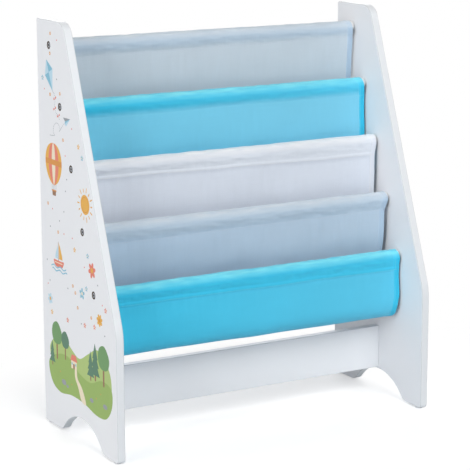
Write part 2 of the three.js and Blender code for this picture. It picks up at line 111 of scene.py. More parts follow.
FOIL_PATCHES = 90.0
ORANGE_PEEL = 700.0
ROWS = range(1, 6)
SIDES = {"left": -1, "right": 1}


def middle(node):
    low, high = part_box(node)
    return (low + high) / 2


def half_height(node):
    """Radius of a piece that is turned about a level axis"""
    low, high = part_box(node)
    return (high.z - low.z) / 2


def rounded(corners):
    """Arcs that round an outline's corners, drawn anticlockwise: centre, radius, start and end"""
    arcs = []
    places = [Vector(at) for at, _ in corners]
    for i, (_, radius) in enumerate(corners):
        at = places[i]
        back = (places[i - 1] - at).normalized()
        ahead = (places[(i + 1) % len(places)] - at).normalized()
        half = back.angle(ahead) / 2
        centre = at + (back + ahead).normalized() * radius / math.sin(half)
        start, end = (at + way * radius / math.tan(half) - centre for way in (back, ahead))
        first = math.atan2(start.y, start.x)
        arcs.append((centre, radius, first, first + (math.atan2(end.y, end.x) - first) % math.tau))
    return arcs


def outline(arcs, inset):
    """Points of an outline of arcs, drawn in by the inset; an arc that turns clockwise is hollow"""
    points = []
    for centre, radius, start, end in arcs:
        reach = radius - math.copysign(inset, end - start)
        steps = max(2, round(abs(math.degrees(end - start)) / DEGREES_A_STEP))
        for angle in np.linspace(start, end, steps + 1):
            points.append((centre.x + reach * math.cos(angle), centre.y + reach * math.sin(angle)))
    return points


def quarter(edge, steps=EDGE_STEPS):
    """Rounded edge from an end to a side: pairs of the depth below the end and inside the side"""
    angles = [math.pi / 2 * step / steps for step in range(steps + 1)]
    return [(edge * (1 - math.cos(a)), edge * (1 - math.sin(a))) for a in angles]


def smoothed(mesh, angle=SHARP_ANGLE):
    """The mesh, shaded smooth up to its sharp edges"""
    mesh.shade_smooth()
    mesh.set_sharp_from_angle(angle=angle)
    return mesh


def mesh_of(shape, name):
    """Mesh of a finished bmesh, with its faces outward"""
    bmesh.ops.recalc_face_normals(shape, faces=shape.faces)
    mesh = bpy.data.meshes.new(name)
    shape.to_mesh(mesh)
    shape.free()
    return smoothed(mesh)


def skin_rings(shape, rings):
    """Faces between closed rings of vertices; a ring of one vertex is a pole"""
    faces = []
    for one, two in zip(rings, rings[1:]):
        count = max(len(one), len(two))
        for i in range(count):
            j = (i + 1) % count
            corners = [one[i % len(one)], one[j % len(one)], two[j % len(two)], two[i % len(two)]]
            faces.append(shape.faces.new(list(dict.fromkeys(corners))))
    return faces


def sawn_board(name, arcs, low_x, high_x, edge):
    """Board whose outline lies in the side view; both long edges are rounded as the edge says"""
    places = [(low_x + depth, inset) for depth, inset in edge]
    places += [(high_x - depth, inset) for depth, inset in reversed(edge)]
    shape = bmesh.new()
    rings = [[shape.verts.new((x, y, z)) for y, z in outline(arcs, inset)] for x, inset in places]
    skin_rings(shape, rings)
    shape.faces.new(rings[0])
    shape.faces.new(rings[-1])
    return mesh_of(shape, name)


def turn_solid(shape, profile, place, steps=TURNED_STEPS):
    """Adds a closed solid: pairs of radius and x, turned about the X axis and then placed"""
    angles = [math.tau * i / steps for i in range(steps)]
    rings = []
    for radius, x in profile:
        spots = [(x, radius * math.cos(a), radius * math.sin(a)) for a in (angles if radius else angles[:1])]
        rings.append([shape.verts.new(place @ Vector(spot)) for spot in spots])
    skin_rings(shape, rings)


def bar_profile(radius, start, end):
    return [(0, start), (radius, start), (radius, end), (0, end)]


def drill(shape, radius, start, end, place):
    """Adds the solid of a round hole, with room for its fitting"""
    turn_solid(shape, bar_profile(radius + FIT_GAP, start, end), place)


def at_side(sign, centre):
    """Place of a piece drawn along +X for the right side, turned round for the left"""
    turn = Matrix.Rotation(0 if sign > 0 else math.pi, 4, "Z")
    return Matrix.Translation((0, centre.y, centre.z)) @ turn


def upright(centre=Vector()):
    """Place of a piece drawn along +X that stands up over a point of the floor"""
    return Matrix.Translation((centre.x, centre.y, 0)) @ Matrix.Rotation(-math.pi / 2, 4, "Y")


def show(mesh, name):
    piece = bpy.data.objects.new(name, mesh)
    scene.collection.objects.link(piece)
    return piece


def worked(piece, kind, inputs=None, **settings):
    """Plain mesh of an object with one modifier worked in; the object itself is removed"""
    step = piece.modifiers.new("step", kind)
    for key, value in settings.items():
        setattr(step, key, value)
    for key, value in (inputs or {}).items():
        step[key] = value
    graph = bpy.context.evaluated_depsgraph_get()
    mesh = bpy.data.meshes.new_from_object(piece.evaluated_get(graph))
    bpy.data.objects.remove(piece)
    return mesh


def bored(mesh, drills, name):
    """Mesh with the drills taken away; bored faces keep the drills' material"""
    tool = show(drills, name + "_drills")
    cut = {"operation": "DIFFERENCE", "solver": "EXACT", "material_mode": "TRANSFER", "object": tool}
    made = worked(show(mesh, name + "_blank"), "BOOLEAN", **cut)
    bpy.data.objects.remove(tool)
    return smoothed(made)


def mount(piece):
    """The piece rides on the shelf"""
    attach(piece, "root")


def dress(piece, slot, *nodes):
    """The piece stands for its nodes"""
    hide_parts(*nodes)
    mount(piece)


def dress_board(blank, drills, finish, name, node):
    """A sawn board, bored and foiled; its flat faces shade flat, up to their rounded edges"""
    blank.materials.append(finish)
    drills.materials.append(raw_board_and_painted_shade)
    piece = show(bored(blank, drills, name), name)
    piece.modifiers.new("face_weights", "WEIGHTED_NORMAL").keep_sharp = True
    dress(piece, "board", node)


def rgb(ink, shade=1.0):
    """Linear colour of a screen colour from 0 to 255, times a shade"""
    shares = [shade * value / 255 for value in ink]
    return tuple(s / 12.92 if s <= 0.04045 else ((s + 0.055) / 1.055) ** 2.4 for s in shares) + (1.0,)


def new_finish(name, **values):
    """Material with its shader's plain values set, its tree and its shader"""
    made = bpy.data.materials.new(name)
    made.use_nodes = True
    shader = made.node_tree.nodes["Principled BSDF"]
    for key, value in values.items():
        shader.inputs[key.replace("_", " ").title()].default_value = value
    return made, made.node_tree, shader


def add(tree, kind, inputs=None, **settings):
    """Node with its settings made and its inputs set or linked"""
    node = tree.nodes.new(kind)
    for key, value in settings.items():
        setattr(node, key, value)
    for key, value in (inputs or {}).items():
        if isinstance(value, bpy.types.NodeSocket):
            tree.links.new(value, node.inputs[key])
        else:
            node.inputs[key].default_value = value
    return node


def calc(tree, operation, *values):
    return add(tree, "ShaderNodeMath", dict(enumerate(values)), operation=operation).outputs[0]


def mixed(tree, share, first, second):
    return add(tree, "ShaderNodeMix", {0: share, 6: first, 7: second}, data_type="RGBA").outputs[2]


def ranged(tree, value, low, high, first=0.0, last=1.0):
    """Value between the first and the last, spread from low to high"""
    spread = {"Value": value, "From Min": first, "From Max": last, "To Min": low, "To Max": high}
    return add(tree, "ShaderNodeMapRange", spread).outputs[0]


def object_place(tree):
    return add(tree, "ShaderNodeTexCoord").outputs["Object"]


def speckle(tree, place, scale, detail=2.0):
    """Noise of one scale, or of a scale along each axis, in waves a metre"""
    if isinstance(scale, tuple):
        place, scale = add(tree, "ShaderNodeMapping", {"Vector": place, "Scale": scale}).outputs[0], 1.0
    return add(tree, "ShaderNodeTexNoise", {"Vector": place, "Scale": scale, "Detail": detail}).outputs[0]


def paint_on(tree, shader, colour, height, depth, strength=1.0):
    """Gives the shader its colour, and its grain from a height"""
    tree.links.new(colour, shader.inputs["Base Color"])
    bump = add(tree, "ShaderNodeBump", {"Height": height, "Distance": depth, "Strength": strength})
    tree.links.new(bump.outputs[0], shader.inputs["Normal"])


def square_to(tree, axis, least=SQUARE_SHARE):
    """1 on faces square to an axis, or nearer to it than the least share, and 0 on all others"""
    normal = add(tree, "ShaderNodeNewGeometry").outputs["Normal"]
    share = calc(tree, "ABSOLUTE", add(tree, "ShaderNodeSeparateXYZ", {0: normal}).outputs[axis])
    return calc(tree, "GREATER_THAN", share, least)


def grained_finish(name, ink, fleck, scale, depth, strength=1.0, grain=None, detail=2.0, **values):
    """Wavers between its ink and its flecks at one scale, and is raised at the scale of its grain"""
    made, tree, shader = new_finish(name, **values)
    place = object_place(tree)
    colour = mixed(tree, speckle(tree, place, scale, detail), rgb(ink), rgb(fleck))
    paint_on(tree, shader, colour, speckle(tree, place, grain or scale, detail), depth, strength)
    return made


def foil_finish(name, face_axis, face_ink, edge_ink):
    """Satin white foil with a faint orange peel; its rounded edges carry a painted shade"""
    made, tree, shader = new_finish(name)
    place = object_place(tree)
    face = mixed(tree, speckle(tree, place, FOIL_CLOUDS), rgb(face_ink), rgb(face_ink, shade=1.02))
    # Painted shade: the rounded edges take the edge ink a tenth darker, to hold back their highlight.
    edge = mixed(tree, square_to(tree, face_axis, ROUNDING_SHADE_SHARE), rgb(edge_ink), rgb(edge_ink, shade=0.9))
    inked = mixed(tree, square_to(tree, face_axis), edge, face)
    satin = ranged(tree, speckle(tree, place, FOIL_PATCHES), low=0.48, high=0.6)
    tree.links.new(satin, shader.inputs["Roughness"])
    paint_on(tree, shader, inked, speckle(tree, place, ORANGE_PEEL), depth=0.00006, strength=0.35)
    return made


def board_arcs():
    """Outline of a side board, in y and z: five rounded corners, then the arch from front to rear"""
    back, front = board_high.y, board_low.y
    sole, top = board_low.z, board_high.z
    arcs = rounded([
        ((back, sole), HEEL_RADIUS),
        ((back, top), TOP_BACK_RADIUS),
        ((back - TOP_EDGE_LENGTH, top), TOP_CORNER_RADIUS),
        ((front, KINK_HEIGHT), KINK_RADIUS),
        ((front, sole), HEEL_RADIUS),
    ])
    arch_front, arch_rear = front + FRONT_FOOT_LENGTH, back - REAR_FOOT_LENGTH
    half = (arch_rear - arch_front) / 2
    crown_radius = (half**2 + ARCH_RISE**2) / (2 * ARCH_RISE) - FOOT_INNER_RADIUS
    lean = math.atan2(ARCH_RISE - crown_radius - FOOT_INNER_RADIUS, half)
    foot = sole + FOOT_INNER_RADIUS
    crown = Vector(((arch_rear + arch_front) / 2, sole + ARCH_RISE - crown_radius))
    arcs.append((Vector((arch_front, foot)), FOOT_INNER_RADIUS, -math.pi / 2, lean))
    arcs.append((crown, crown_radius, math.pi + lean, -lean))
    arcs.append((Vector((arch_rear, foot)), FOOT_INNER_RADIUS, math.pi - lean, math.pi * 3 / 2))
    return arcs


def board_drills(side, sign):
    """Solids of all the holes in one board: bolts, dowels, cam pin and glide nails"""
    shape = bmesh.new()
    inside, outside, seat = INNER_X - OVERRUN, OUTER_X + OVERRUN, OUTER_X - COUNTERBORE_DEPTH
    shaft = BOLT_SHAFT_RADIUS + FIT_GAP
    bolt_hole = [
        (0, inside),
        (shaft, inside),
        (shaft, seat),
        (COUNTERBORE_RADIUS, seat),
        (COUNTERBORE_RADIUS, OUTER_X - COUNTERBORE_LIP),
        (COUNTERBORE_RADIUS + COUNTERBORE_LIP + OVERRUN, outside),
        (0, outside),
    ]
    for axis in rod_axes.values():
        turn_solid(shape, bolt_hole, at_side(sign, axis))
    dowel = half_height("rail_dowel_upper_right")
    for name, radius in (("dowel_upper", dowel), ("dowel_lower", dowel), ("cam_pin", PIN_THREAD_RADIUS)):
        node = f"rail_{name}_right"
        drill(shape, radius, inside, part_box(node)[1].x + FIT_GAP, at_side(sign, middle(node)))
    for end in ("front", "rear"):
        glide = f"foot_glide_{end}_{side}"
        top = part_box(glide)[1].z + FIT_GAP
        drill(shape, NAIL_RADIUS, board_low.z - OVERRUN, top, upright(middle(glide)))
    return mesh_of(shape, f"board_drills_{side}")


rod_axes = {row: middle(f"rod_{row}") for row in ROWS}
foil = foil_finish("board_foil", "X", face_ink=(230, 231, 234), edge_ink=(231, 234, 237))
# Painted shade: the raw board's inks are darkened, so that every hole reads as shadowed.
raw_board_and_painted_shade = grained_finish(
    "raw_fibreboard_and_painted_shade", ink=(78, 66, 54), fleck=(128, 108, 84),
    scale=1600.0, detail=4.0, depth=0.0001, roughness=0.9,
)
for side, sign in SIDES.items():
    low_x, high_x = sorted((sign * INNER_X, sign * OUTER_X))
    blank = sawn_board(f"side_{side}", board_arcs(), low_x, high_x, quarter(BOARD_EDGE_ROUND))
    dress_board(blank, board_drills(side, sign), foil, f"side_{side}", f"side_board_{side}")

# Printed picture on the left board
# A cheerful picture of plain shapes, printed on the foil of the left board's outer face. It is laid
# out in millimetres, seen from outside: first to the right from the middle of the board's depth,
# then up from the floor. Each ink is a film a few hundredths thick.
DRAWING_UNIT = 0.001
INK_FILM = 0.00003
INK_STEP = 0.000002
INK_STEPS = 9
CURVE_STEPS = 7
ENVELOPE_STEPS = 24
SUN_RAYS = 14
STONE_FLATNESS = 0.55
CONFETTI_COUNT = 44
CONFETTI_SEED = 11
CONFETTI_REACH = 130
CONFETTI_HEIGHTS = (200, 700)
CONFETTI_CLEARANCE = 11
CONFETTI_MARGIN = 14
INK_GRAIN = 2600.0
INK_CLOUDS = 40.0
INK_CLOUD_SHARE = 0.4
INKS = {
    "gold": (236, 178, 74),
    "amber": (222, 148, 62),
    "coral": (232, 128, 108),
    "cream": (246, 232, 204),
    "sky": (192, 224, 240),
    "lake": (132, 192, 216),
    "teal": (62, 88, 104),
    "grey": (150, 154, 160),
    "grass": (150, 180, 92),
    "meadow": (176, 200, 120),
    "leaf": (104, 150, 92),
    "fir": (78, 122, 96),
    "bark": (146, 106, 76),
}
drawing = []


def turned_by(points, at=(0, 0), degrees=0.0, scale=1.0):
    """Points drawn about the origin, turned, scaled and moved to their place"""
    c, s = math.cos(math.radians(degrees)), math.sin(math.radians(degrees))
    return [(at[0] + scale * (c * a - s * b), at[1] + scale * (s * a + c * b)) for a, b in points]


def draw(motif, at=(0, 0), degrees=0.0, scale=1.0):
    """Prints a motif at its place; each shape of it is an ink, a layer and an outline"""
    for ink, layer, points in motif:
        drawing.append((ink, layer, turned_by(points, at, degrees, scale)))


def oval(half_width, half_height=None, steps=28):
    half_height = half_height or half_width
    angles = [math.tau * i / steps for i in range(steps)]
    return [(half_width * math.cos(t), half_height * math.sin(t)) for t in angles]


def smooth_loop(*points):
    """Closed curve that runs smoothly through given points"""
    made = []
    for i in range(len(points)):
        p = [Vector(points[(i + k) % len(points)]) for k in (-1, 0, 1, 2)]
        for step in range(CURVE_STEPS):
            t = step / CURVE_STEPS
            spot = 2 * p[1] + (p[2] - p[0]) * t + (2 * p[0] - 5 * p[1] + 4 * p[2] - p[3]) * t**2
            spot += (3 * p[1] - p[0] - 3 * p[2] + p[3]) * t**3
            made.append(tuple(spot / 2))
    return made


def bar(length, width, at=(0, 0), degrees=0.0):
    """Rounded stroke that starts at a place and runs to the right, or at an angle to that"""
    half = width / 2
    cap = [(math.sin(t), math.cos(t)) for t in (0, 0.8, 1.57, 2.34, 3.14)]
    right = [(length + half * a, half * b) for a, b in cap]
    return turned_by(right + [(-half * a, -half * b) for a, b in cap], at, degrees)


def pane(left, low, right, high):
    return [(left, low), (right, low), (right, high), (left, high)]


def draw_trail(path, spacing, radius):
    """Dots at an even spacing along a path of many points"""
    left = 0.0
    for (a0, b0), (a1, b1) in zip(path, path[1:]):
        run = math.hypot(a1 - a0, b1 - b0)
        while left <= run:
            share = left / run
            draw([("teal", 1, oval(radius, steps=10))], (a0 + share * (a1 - a0), b0 + share * (b1 - b0)))
            left += spacing
        left -= run


def draw_kite(at, degrees):
    top, left, right, foot, heart = (0, 27), (-17, 4), (17, 4), (0, -30), (0, 4)
    panels = [("sky", top, left), ("lake", top, right), ("lake", foot, left), ("sky", foot, right)]
    draw([(ink, 1, [heart, first, second]) for ink, first, second in panels], at, degrees)
    tail = [(5 * math.sin(t / 2.1), -30 - 3.1 * t) for t in range(18)]
    draw_trail(turned_by(tail, at, degrees), 3.4, 0.75)
    for t in (5, 10, 15):
        for lean in (25, 155):
            bow = turned_by([(0, 0), (6, 2.4), (6, -2.4)], tail[t], lean)
            draw([("coral", 2, bow)], at, degrees)


def draw_plane(at, degrees):
    wing, keel = [(15, 0), (-11, 9), (-6, 1)], [(15, 0), (-6, 1), (-9, -3)]
    draw([("grey", 1, wing), ("sky", 2, keel + [(-5, -8)]), ("lake", 3, keel)], at, degrees)
    loop = []
    for t in np.linspace(0, 1, 80):
        turn = math.tau * min(max((t - 0.35) / 0.3, 0), 1)
        rise = -2 - 10 * math.sin(2.6 * t) + 9 * (1 - math.cos(turn))
        loop.append((-14 - 62 * t + 9 * math.sin(turn), rise))
    draw_trail(turned_by(loop, at, degrees), 3.2, 0.7)


def envelope(share, steps):
    """Line down a balloon's envelope, which tapers to its mouth; the share is how far aside it lies"""
    points = []
    for step in steps:
        t = math.pi * step / ENVELOPE_STEPS
        past = max(0, 2 * t / math.pi - 1)
        aside = share * math.sin(t) ** 0.92 * (1 - 0.42 * past**2)
        points.append((aside, math.cos(t) * (1.22 if past else 1.0)))
    return points


def balloon():
    """Striped envelope, four ropes and a basket"""
    shares = [-1, -0.62, -0.21, 0.21, 0.62, 1]
    stripes = zip(shares, shares[1:], ("gold", "coral", "cream", "coral", "gold"))
    down, up = range(ENVELOPE_STEPS + 1), range(ENVELOPE_STEPS - 1, 0, -1)
    motif = [(ink, 1, envelope(left, down) + envelope(right, up)) for left, right, ink in stripes]
    band = envelope(-0.995, (11, 12, 13)) + envelope(0.995, (13, 12, 11))
    motif.append(("amber", 2, band))
    motif += [("teal", 1, bar(0.34, 0.018, (a, -1.18), -90)) for a in (-0.24, -0.084, 0.084, 0.24)]
    basket = [(-0.24, -1.5), (0.24, -1.5), (0.19, -1.77), (-0.19, -1.77)]
    return motif + [("bark", 1, basket), ("amber", 2, bar(0.5, 0.07, (-0.25, -1.5)))]


def sun():
    motif = []
    for i in range(SUN_RAYS):
        ray = bar(0.42 if i % 2 else 0.28, 0.13, (1.28, 0))
        motif.append(("gold", 1, turned_by(ray, degrees=360 / SUN_RAYS * i)))
    return motif + [("gold", 1, oval(1)), ("amber", 2, oval(0.8)), ("gold", 3, oval(0.72))]


def boat():
    hull = smooth_loop((-20, 0), (-10, 1), (10, 1), (21, 1), (15, -9), (0, -11), (-14, -9))
    motif = [
        ("coral", 2, hull),
        ("cream", 3, bar(30, 1.6, (-15, -3))),
        ("bark", 1, bar(34, 1.3, degrees=90)),
        ("gold", 2, [(2, 4), (2, 33), (9, 22), (14, 12), (16, 4)]),
        ("sky", 2, [(-2, 4), (-2, 28), (-8, 18), (-12, 10), (-13, 4)]),
    ]
    for row in range(2):
        swell = [(a, 1.8 * math.sin(a / 4.2 + 1.7 * row)) for a in range(-30, 31, 2)]
        strip = [(a, b + 1.1) for a, b in swell] + [(a, b - 1.1) for a, b in reversed(swell)]
        motif.append(("lake", 3, turned_by(strip, (4 * row, -11 - 6 * row))))
    return motif


def draw_flower(at, size, petal_ink, heart_ink="gold", petals=6):
    petal = turned_by(oval(0.42, 0.26, 14), (0.52, 0))
    for i in range(petals):
        draw([(petal_ink, 1, petal)], at, 360 / petals * i + 15, size)
    draw([(heart_ink, 2, oval(0.3, steps=14))], at, 0, size)


def round_tree(ink):
    crown = smooth_loop(
        (-0.5, 1.1), (-0.34, 0.72), (0.05, 0.62), (0.42, 0.78), (0.5, 1.2), (0.1, 1.62), (-0.34, 1.5)
    )
    return [("bark", 3, bar(0.9, 0.14, degrees=90)), (ink, 4, crown)]


def fir():
    motif = [("bark", 3, bar(0.3, 0.14, degrees=90))]
    for tier in range(3):
        half, foot = 0.46 - 0.1 * tier, 0.2 + 0.38 * tier
        motif.append(("fir", 4, [(-half, foot), (half, foot), (0, foot + 0.72)]))
    return motif


def house():
    motif = [("cream", 3, pane(-11, 0, 11, 15)), ("coral", 4, [(-14, 14), (14, 14), (8, 25), (-8, 25)])]
    motif.append(("bark", 4, pane(-3, 0, 3, 9)))
    return motif + [("lake", 4, pane(a - 2, 6.5, a + 2, 10.5)) for a in (-7.2, 7.2)]


def draw_hills():
    """Two rolling hills with a lane, trees, a house and stones, just above the arch"""
    far = smooth_loop(
        (-118, 140), (-96, 166), (-62, 176), (-30, 160), (2, 150), (36, 166),
        (72, 182), (104, 170), (124, 142), (118, 104), (60, 92), (-20, 96), (-92, 104),
    )
    near = smooth_loop(
        (-122, 118), (-84, 138), (-42, 142), (0, 124), (44, 118), (88, 132),
        (124, 126), (126, 96), (104, 70), (66, 66), (20, 74), (-30, 76), (-78, 70), (-112, 84),
    )
    lane = smooth_loop(
        (-16, 128), (-9, 126), (-6, 112), (12, 98), (26, 74), (8, 76), (-4, 96), (-16, 112)
    )
    draw([("meadow", 1, far), ("grass", 2, near), ("cream", 3, lane)])
    draw(house(), (-20, 126))
    for at, size, ink in (((-88, 130), 40, "leaf"), ((-54, 136), 30, "fir"), ((96, 126), 42, "leaf")):
        draw(round_tree(ink), at, 0, size)
    for at, size in (((46, 124), 30), ((64, 128), 38), ((-108, 114), 26)):
        draw(fir(), at, 0, size)
    for at, width in (((-62, 92), 9), ((48, 88), 7), ((100, 90), 8), ((-48, 88), 5)):
        draw([("grey", 3, oval(width, width * STONE_FLATNESS))], at)
    blooms = [(-96, 92), (-76, 108), (-30, 96), (40, 104), (66, 96), (84, 108), (112, 108)]
    for i, at in enumerate(blooms):
        draw_flower(at, 4.4, ("coral", "cream", "gold")[i % 3], "amber", 5)


def board_front(b):
    """How far to the right the board's face reaches at a height, in the drawing's units"""
    front, back = -board_low.y, -board_high.y
    slope = (front - back - TOP_EDGE_LENGTH) / (board_high.z - KINK_HEIGHT)
    reach = back + TOP_EDGE_LENGTH + slope * (board_high.z - b * DRAWING_UNIT)
    return min(front, reach) / DRAWING_UNIT


def draw_confetti():
    """Small rings, dots and flowers in the gaps that the larger shapes leave"""
    random = np.random.default_rng(CONFETTI_SEED)
    taken = [spot for _, _, points in drawing for spot in points]
    taken += [(-axis.y / DRAWING_UNIT, axis.z / DRAWING_UNIT) for axis in rod_axes.values()]
    placed = 0
    while placed < CONFETTI_COUNT:
        a, b = random.uniform(-CONFETTI_REACH, CONFETTI_REACH), random.uniform(*CONFETTI_HEIGHTS)
        clear = all(math.hypot(a - p, b - q) > CONFETTI_CLEARANCE for p, q in taken)
        if not clear or a > board_front(b) - CONFETTI_MARGIN:
            continue
        kind = placed % 4
        if kind == 0:
            draw_flower((a, b), 5.2, ("coral", "lake", "gold")[placed % 3], "cream", 5)
        elif kind == 1:
            draw([("amber", 1, oval(3.0, steps=20)), ("cream", 2, oval(1.5, steps=14))], (a, b))
        else:
            draw([(("grey", "coral")[placed // 4 % 2], 1, oval(1.5, steps=12))], (a, b))
        taken.append((a, b))
        placed += 1


def summed(tree, base, *terms):
    """The base with each term added, a value and its weight"""
    for value, weight in terms:
        base = calc(tree, "MULTIPLY_ADD", value, weight, base)
    return base


def ink_finish(name, ink):
    """Matt ink with the fine grain of a printed film"""
    made, tree, shader = new_finish(f"ink_{name}", roughness=0.5)
    place = object_place(tree)
    clouds = (speckle(tree, place, INK_CLOUDS), INK_CLOUD_SHARE)
    grain = summed(tree, speckle(tree, place, INK_GRAIN), clouds)
    colour = mixed(tree, grain, rgb(ink), rgb(ink, shade=0.93))
    paint_on(tree, shader, colour, speckle(tree, place, ORANGE_PEEL), depth=0.00004, strength=0.3)
    return made


draw_kite((-96, 628), 24)
draw_plane((-30, 556), 20)
draw(balloon(), (-86, 478), 0, 33)
draw(sun(), (36, 424), 0, 17)
draw(boat(), (-74, 306))
draw_flower((58, 316), 15, "coral")
draw_flower((18, 268), 11, "lake", "cream", 5)
draw_flower((84, 236), 12, "gold", "amber", 7)
draw_flower((-112, 232), 11, "sky", "gold", 6)
draw_hills()
draw_confetti()

shape = bmesh.new()
for order, (ink, layer, points) in enumerate(drawing):
    film_x = -OUTER_X - INK_FILM * layer - INK_STEP * (order % INK_STEPS)
    spots = [(-a * DRAWING_UNIT, b * DRAWING_UNIT) for a, b in points]
    outer, inner = [[shape.verts.new((x, y, z)) for y, z in spots] for x in (film_x, -OUTER_X)]
    faces = [shape.faces.new(outer), shape.faces.new(inner[::-1])]
    for film_face in faces + skin_rings(shape, [outer, inner]):
        film_face.material_index = list(INKS).index(ink)
print_mesh = mesh_of(shape, "side_left_print")
for name, ink in INKS.items():
    print_mesh.materials.append(ink_finish(name, ink))
mount(show(print_mesh, "side_left_print"))

# Low rail
# A strip of the same foiled fibreboard, cut square and held between the boards by a cam lock
# and two dowels at each end. The cams are let in from behind, so none shows at the front.
RAIL_EDGE_ROUND = 0.001
CAM_HOLE_DEPTH = 0.0123
FACING_BACK = Matrix.Rotation(math.pi / 2, 4, "Z")
rail_low, rail_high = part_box("low_rail")


def rail_drills():
    """Solids of the cam bores and the dowel holes at both ends"""
    shape = bmesh.new()
    for side, sign in SIDES.items():
        cam = f"rail_cam_{side}"
        place = Matrix.Translation((middle(cam).x, 0, middle(cam).z)) @ FACING_BACK
        drill(shape, half_height(cam), rail_high.y - CAM_HOLE_DEPTH, rail_high.y + OVERRUN, place)
        for node in ("rail_dowel_upper_right", "rail_dowel_lower_right"):
            end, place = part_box(node)[0].x - FIT_GAP, at_side(sign, middle(node))
            drill(shape, half_height(node), end, rail_high.x + OVERRUN, place)
    return mesh_of(shape, "rail_drills")


rail_corners = [(rail_high.y, rail_low.z), (rail_high.y, rail_high.z)]
rail_corners += [(rail_low.y, rail_high.z), (rail_low.y, rail_low.z)]
rail_arcs = rounded([(corner, RAIL_EDGE_ROUND) for corner in rail_corners])
blank = sawn_board("rail", rail_arcs, rail_low.x, rail_high.x, [(0, 0)])
rail_foil = foil_finish("rail_foil", "Y", face_ink=(236, 238, 241), edge_ink=(228, 231, 235))
dress_board(blank, rail_drills(), rail_foil, "rail", "low_rail")

# Rods
# Five round beech rods lacquered white, with broken edges. Each end is bored for a threaded
# insert, so a rod is clamped between the boards by one bolt at each end.
ROD_EDGE = 0.0008
ROD_BORE_RADIUS = 0.0053
ROD_BORE_DEPTH = 0.0156
ROD_STEPS = 64


def turned_piece(name, profile, place=Matrix.Identity(4), steps=TURNED_STEPS):
    shape = bmesh.new()
    turn_solid(shape, profile, place, steps)
    return mesh_of(shape, name)


lacquer = grained_finish(
    "white_lacquer", ink=(238, 238, 237), fleck=(229, 230, 230), scale=(14.0, 420.0, 420.0),
    detail=4.0, depth=0.00008, strength=0.5, roughness=0.36, coat_weight=0.15,
)
for row, axis in rod_axes.items():
    low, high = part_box(f"rod_{row}")
    radius = (high.y - low.y) / 2
    bore_x = high.x - ROD_BORE_DEPTH
    half = [(0, bore_x), (ROD_BORE_RADIUS, bore_x), (ROD_BORE_RADIUS, high.x)]
    half += [(radius - inset, high.x - depth) for depth, inset in quarter(ROD_EDGE)]
    profile = [(r, -x) for r, x in half] + half[::-1]
    mesh = turned_piece(f"round_rod_{row}", profile, at_side(1, axis), ROD_STEPS)
    mesh.materials.append(lacquer)
    dress(show(mesh, f"round_rod_{row}"), "rod", f"rod_{row}")

# Bolts
# Ten zinc-plated hexagon-socket bolts, five to a side, sunk just below the face of the board.
# The sides of each head and its socket are inked dark, a painted shade that rings the head.
# One bolt is made and set in place at every rod end.
BOLT_EDGE = 0.0005
BOLT_HEAD_HEIGHT = 0.0042
SOCKET_RADIUS = 0.0023
SOCKET_DEPTH = 0.0022
SOCKET_SIDES = 6
DULL_SPOTS = 300.0
POLISH = 0.07
DULLING = 0.1
TURNING_MARKS = 2400.0


def store(mesh, name, values, kind="FLOAT"):
    """Keeps values on the points of a mesh"""
    kept = mesh.attributes.new(name, kind, "POINT").data
    kept.foreach_set("value" if kind == "FLOAT" else "vector", np.array(values, np.float32).ravel())


def stored(tree, name):
    """A vector that is kept on the points of a mesh"""
    node = add(tree, "GeometryNodeInputNamedAttribute", {"Name": name}, data_type="FLOAT_VECTOR")
    return node.outputs["Attribute"]


def copying_tree(name, lay_out, **sizes):
    """Sets a copy of one piece at every point that is laid out, turned as the layout says"""
    tree = bpy.data.node_groups.new(name, "GeometryNodeTree")
    inputs = {"Places": "Geometry", "Piece": "Object", "Finish": "Material"} | sizes
    for label, kind in inputs.items():
        tree.interface.new_socket(label, in_out="INPUT", socket_type=f"NodeSocket{kind}")
    tree.interface.new_socket("Pieces", in_out="OUTPUT", socket_type="NodeSocketGeometry")
    given = tree.nodes.new("NodeGroupInput").outputs
    points, turns = lay_out(tree, given)
    sample = add(tree, "GeometryNodeObjectInfo", {"Object": given["Piece"]}).outputs["Geometry"]
    copies = {"Points": points, "Instance": sample, "Rotation": turns}
    instances = add(tree, "GeometryNodeInstanceOnPoints", copies)
    real = add(tree, "GeometryNodeRealizeInstances", {0: instances.outputs[0]})
    finish = {"Geometry": real.outputs[0], "Material": given["Finish"]}
    finished = add(tree, "GeometryNodeSetMaterial", finish)
    tree.links.new(finished.outputs[0], tree.nodes.new("NodeGroupOutput").inputs[0])
    return tree


def copied(tree, places, name, pattern, finish, **sizes):
    """The piece that a tree makes of copies of a pattern, as one plain mesh"""
    sample = show(pattern, name + "_sample")
    values = {"Piece": sample, "Finish": finish} | sizes
    sockets = [socket for socket in tree.interface.items_tree if socket.name in values]
    inputs = {socket.identifier: values[socket.name] for socket in sockets}
    made = worked(show(places, name + "_places"), "NODES", inputs, node_group=tree)
    bpy.data.objects.remove(sample)
    return show(made, name)


def as_placed(tree, given):
    return given["Places"], stored(tree, "turn")


def set_in_place(name, pattern, finish, places):
    """One piece at each place, a point and a turn about Z"""
    points = bpy.data.meshes.new(name + "_points")
    points.from_pydata([at for at, _ in places], [], [])
    store(points, "turn", [(0, 0, turn) for _, turn in places], "FLOAT_VECTOR")
    return copied(placing, points, name, pattern, finish)


def plated_finish(name, light, dark, side, roughness):
    """Plated metal with fine turning marks and dull spots; the sides have an ink of their own"""
    made, tree, shader = new_finish(name, metallic=1.0)
    place = object_place(tree)
    spots = speckle(tree, place, DULL_SPOTS, detail=3.0)
    # The side ink colours all faces not square to X; on the steel bolts it is a painted shade.
    plated = mixed(tree, square_to(tree, "X"), rgb(side), mixed(tree, spots, rgb(light), rgb(dark)))
    shine = ranged(tree, spots, low=roughness - POLISH, high=roughness + DULLING)
    tree.links.new(shine, shader.inputs["Roughness"])
    paint_on(tree, shader, plated, speckle(tree, place, TURNING_MARKS), depth=0.00003, strength=0.5)
    return made


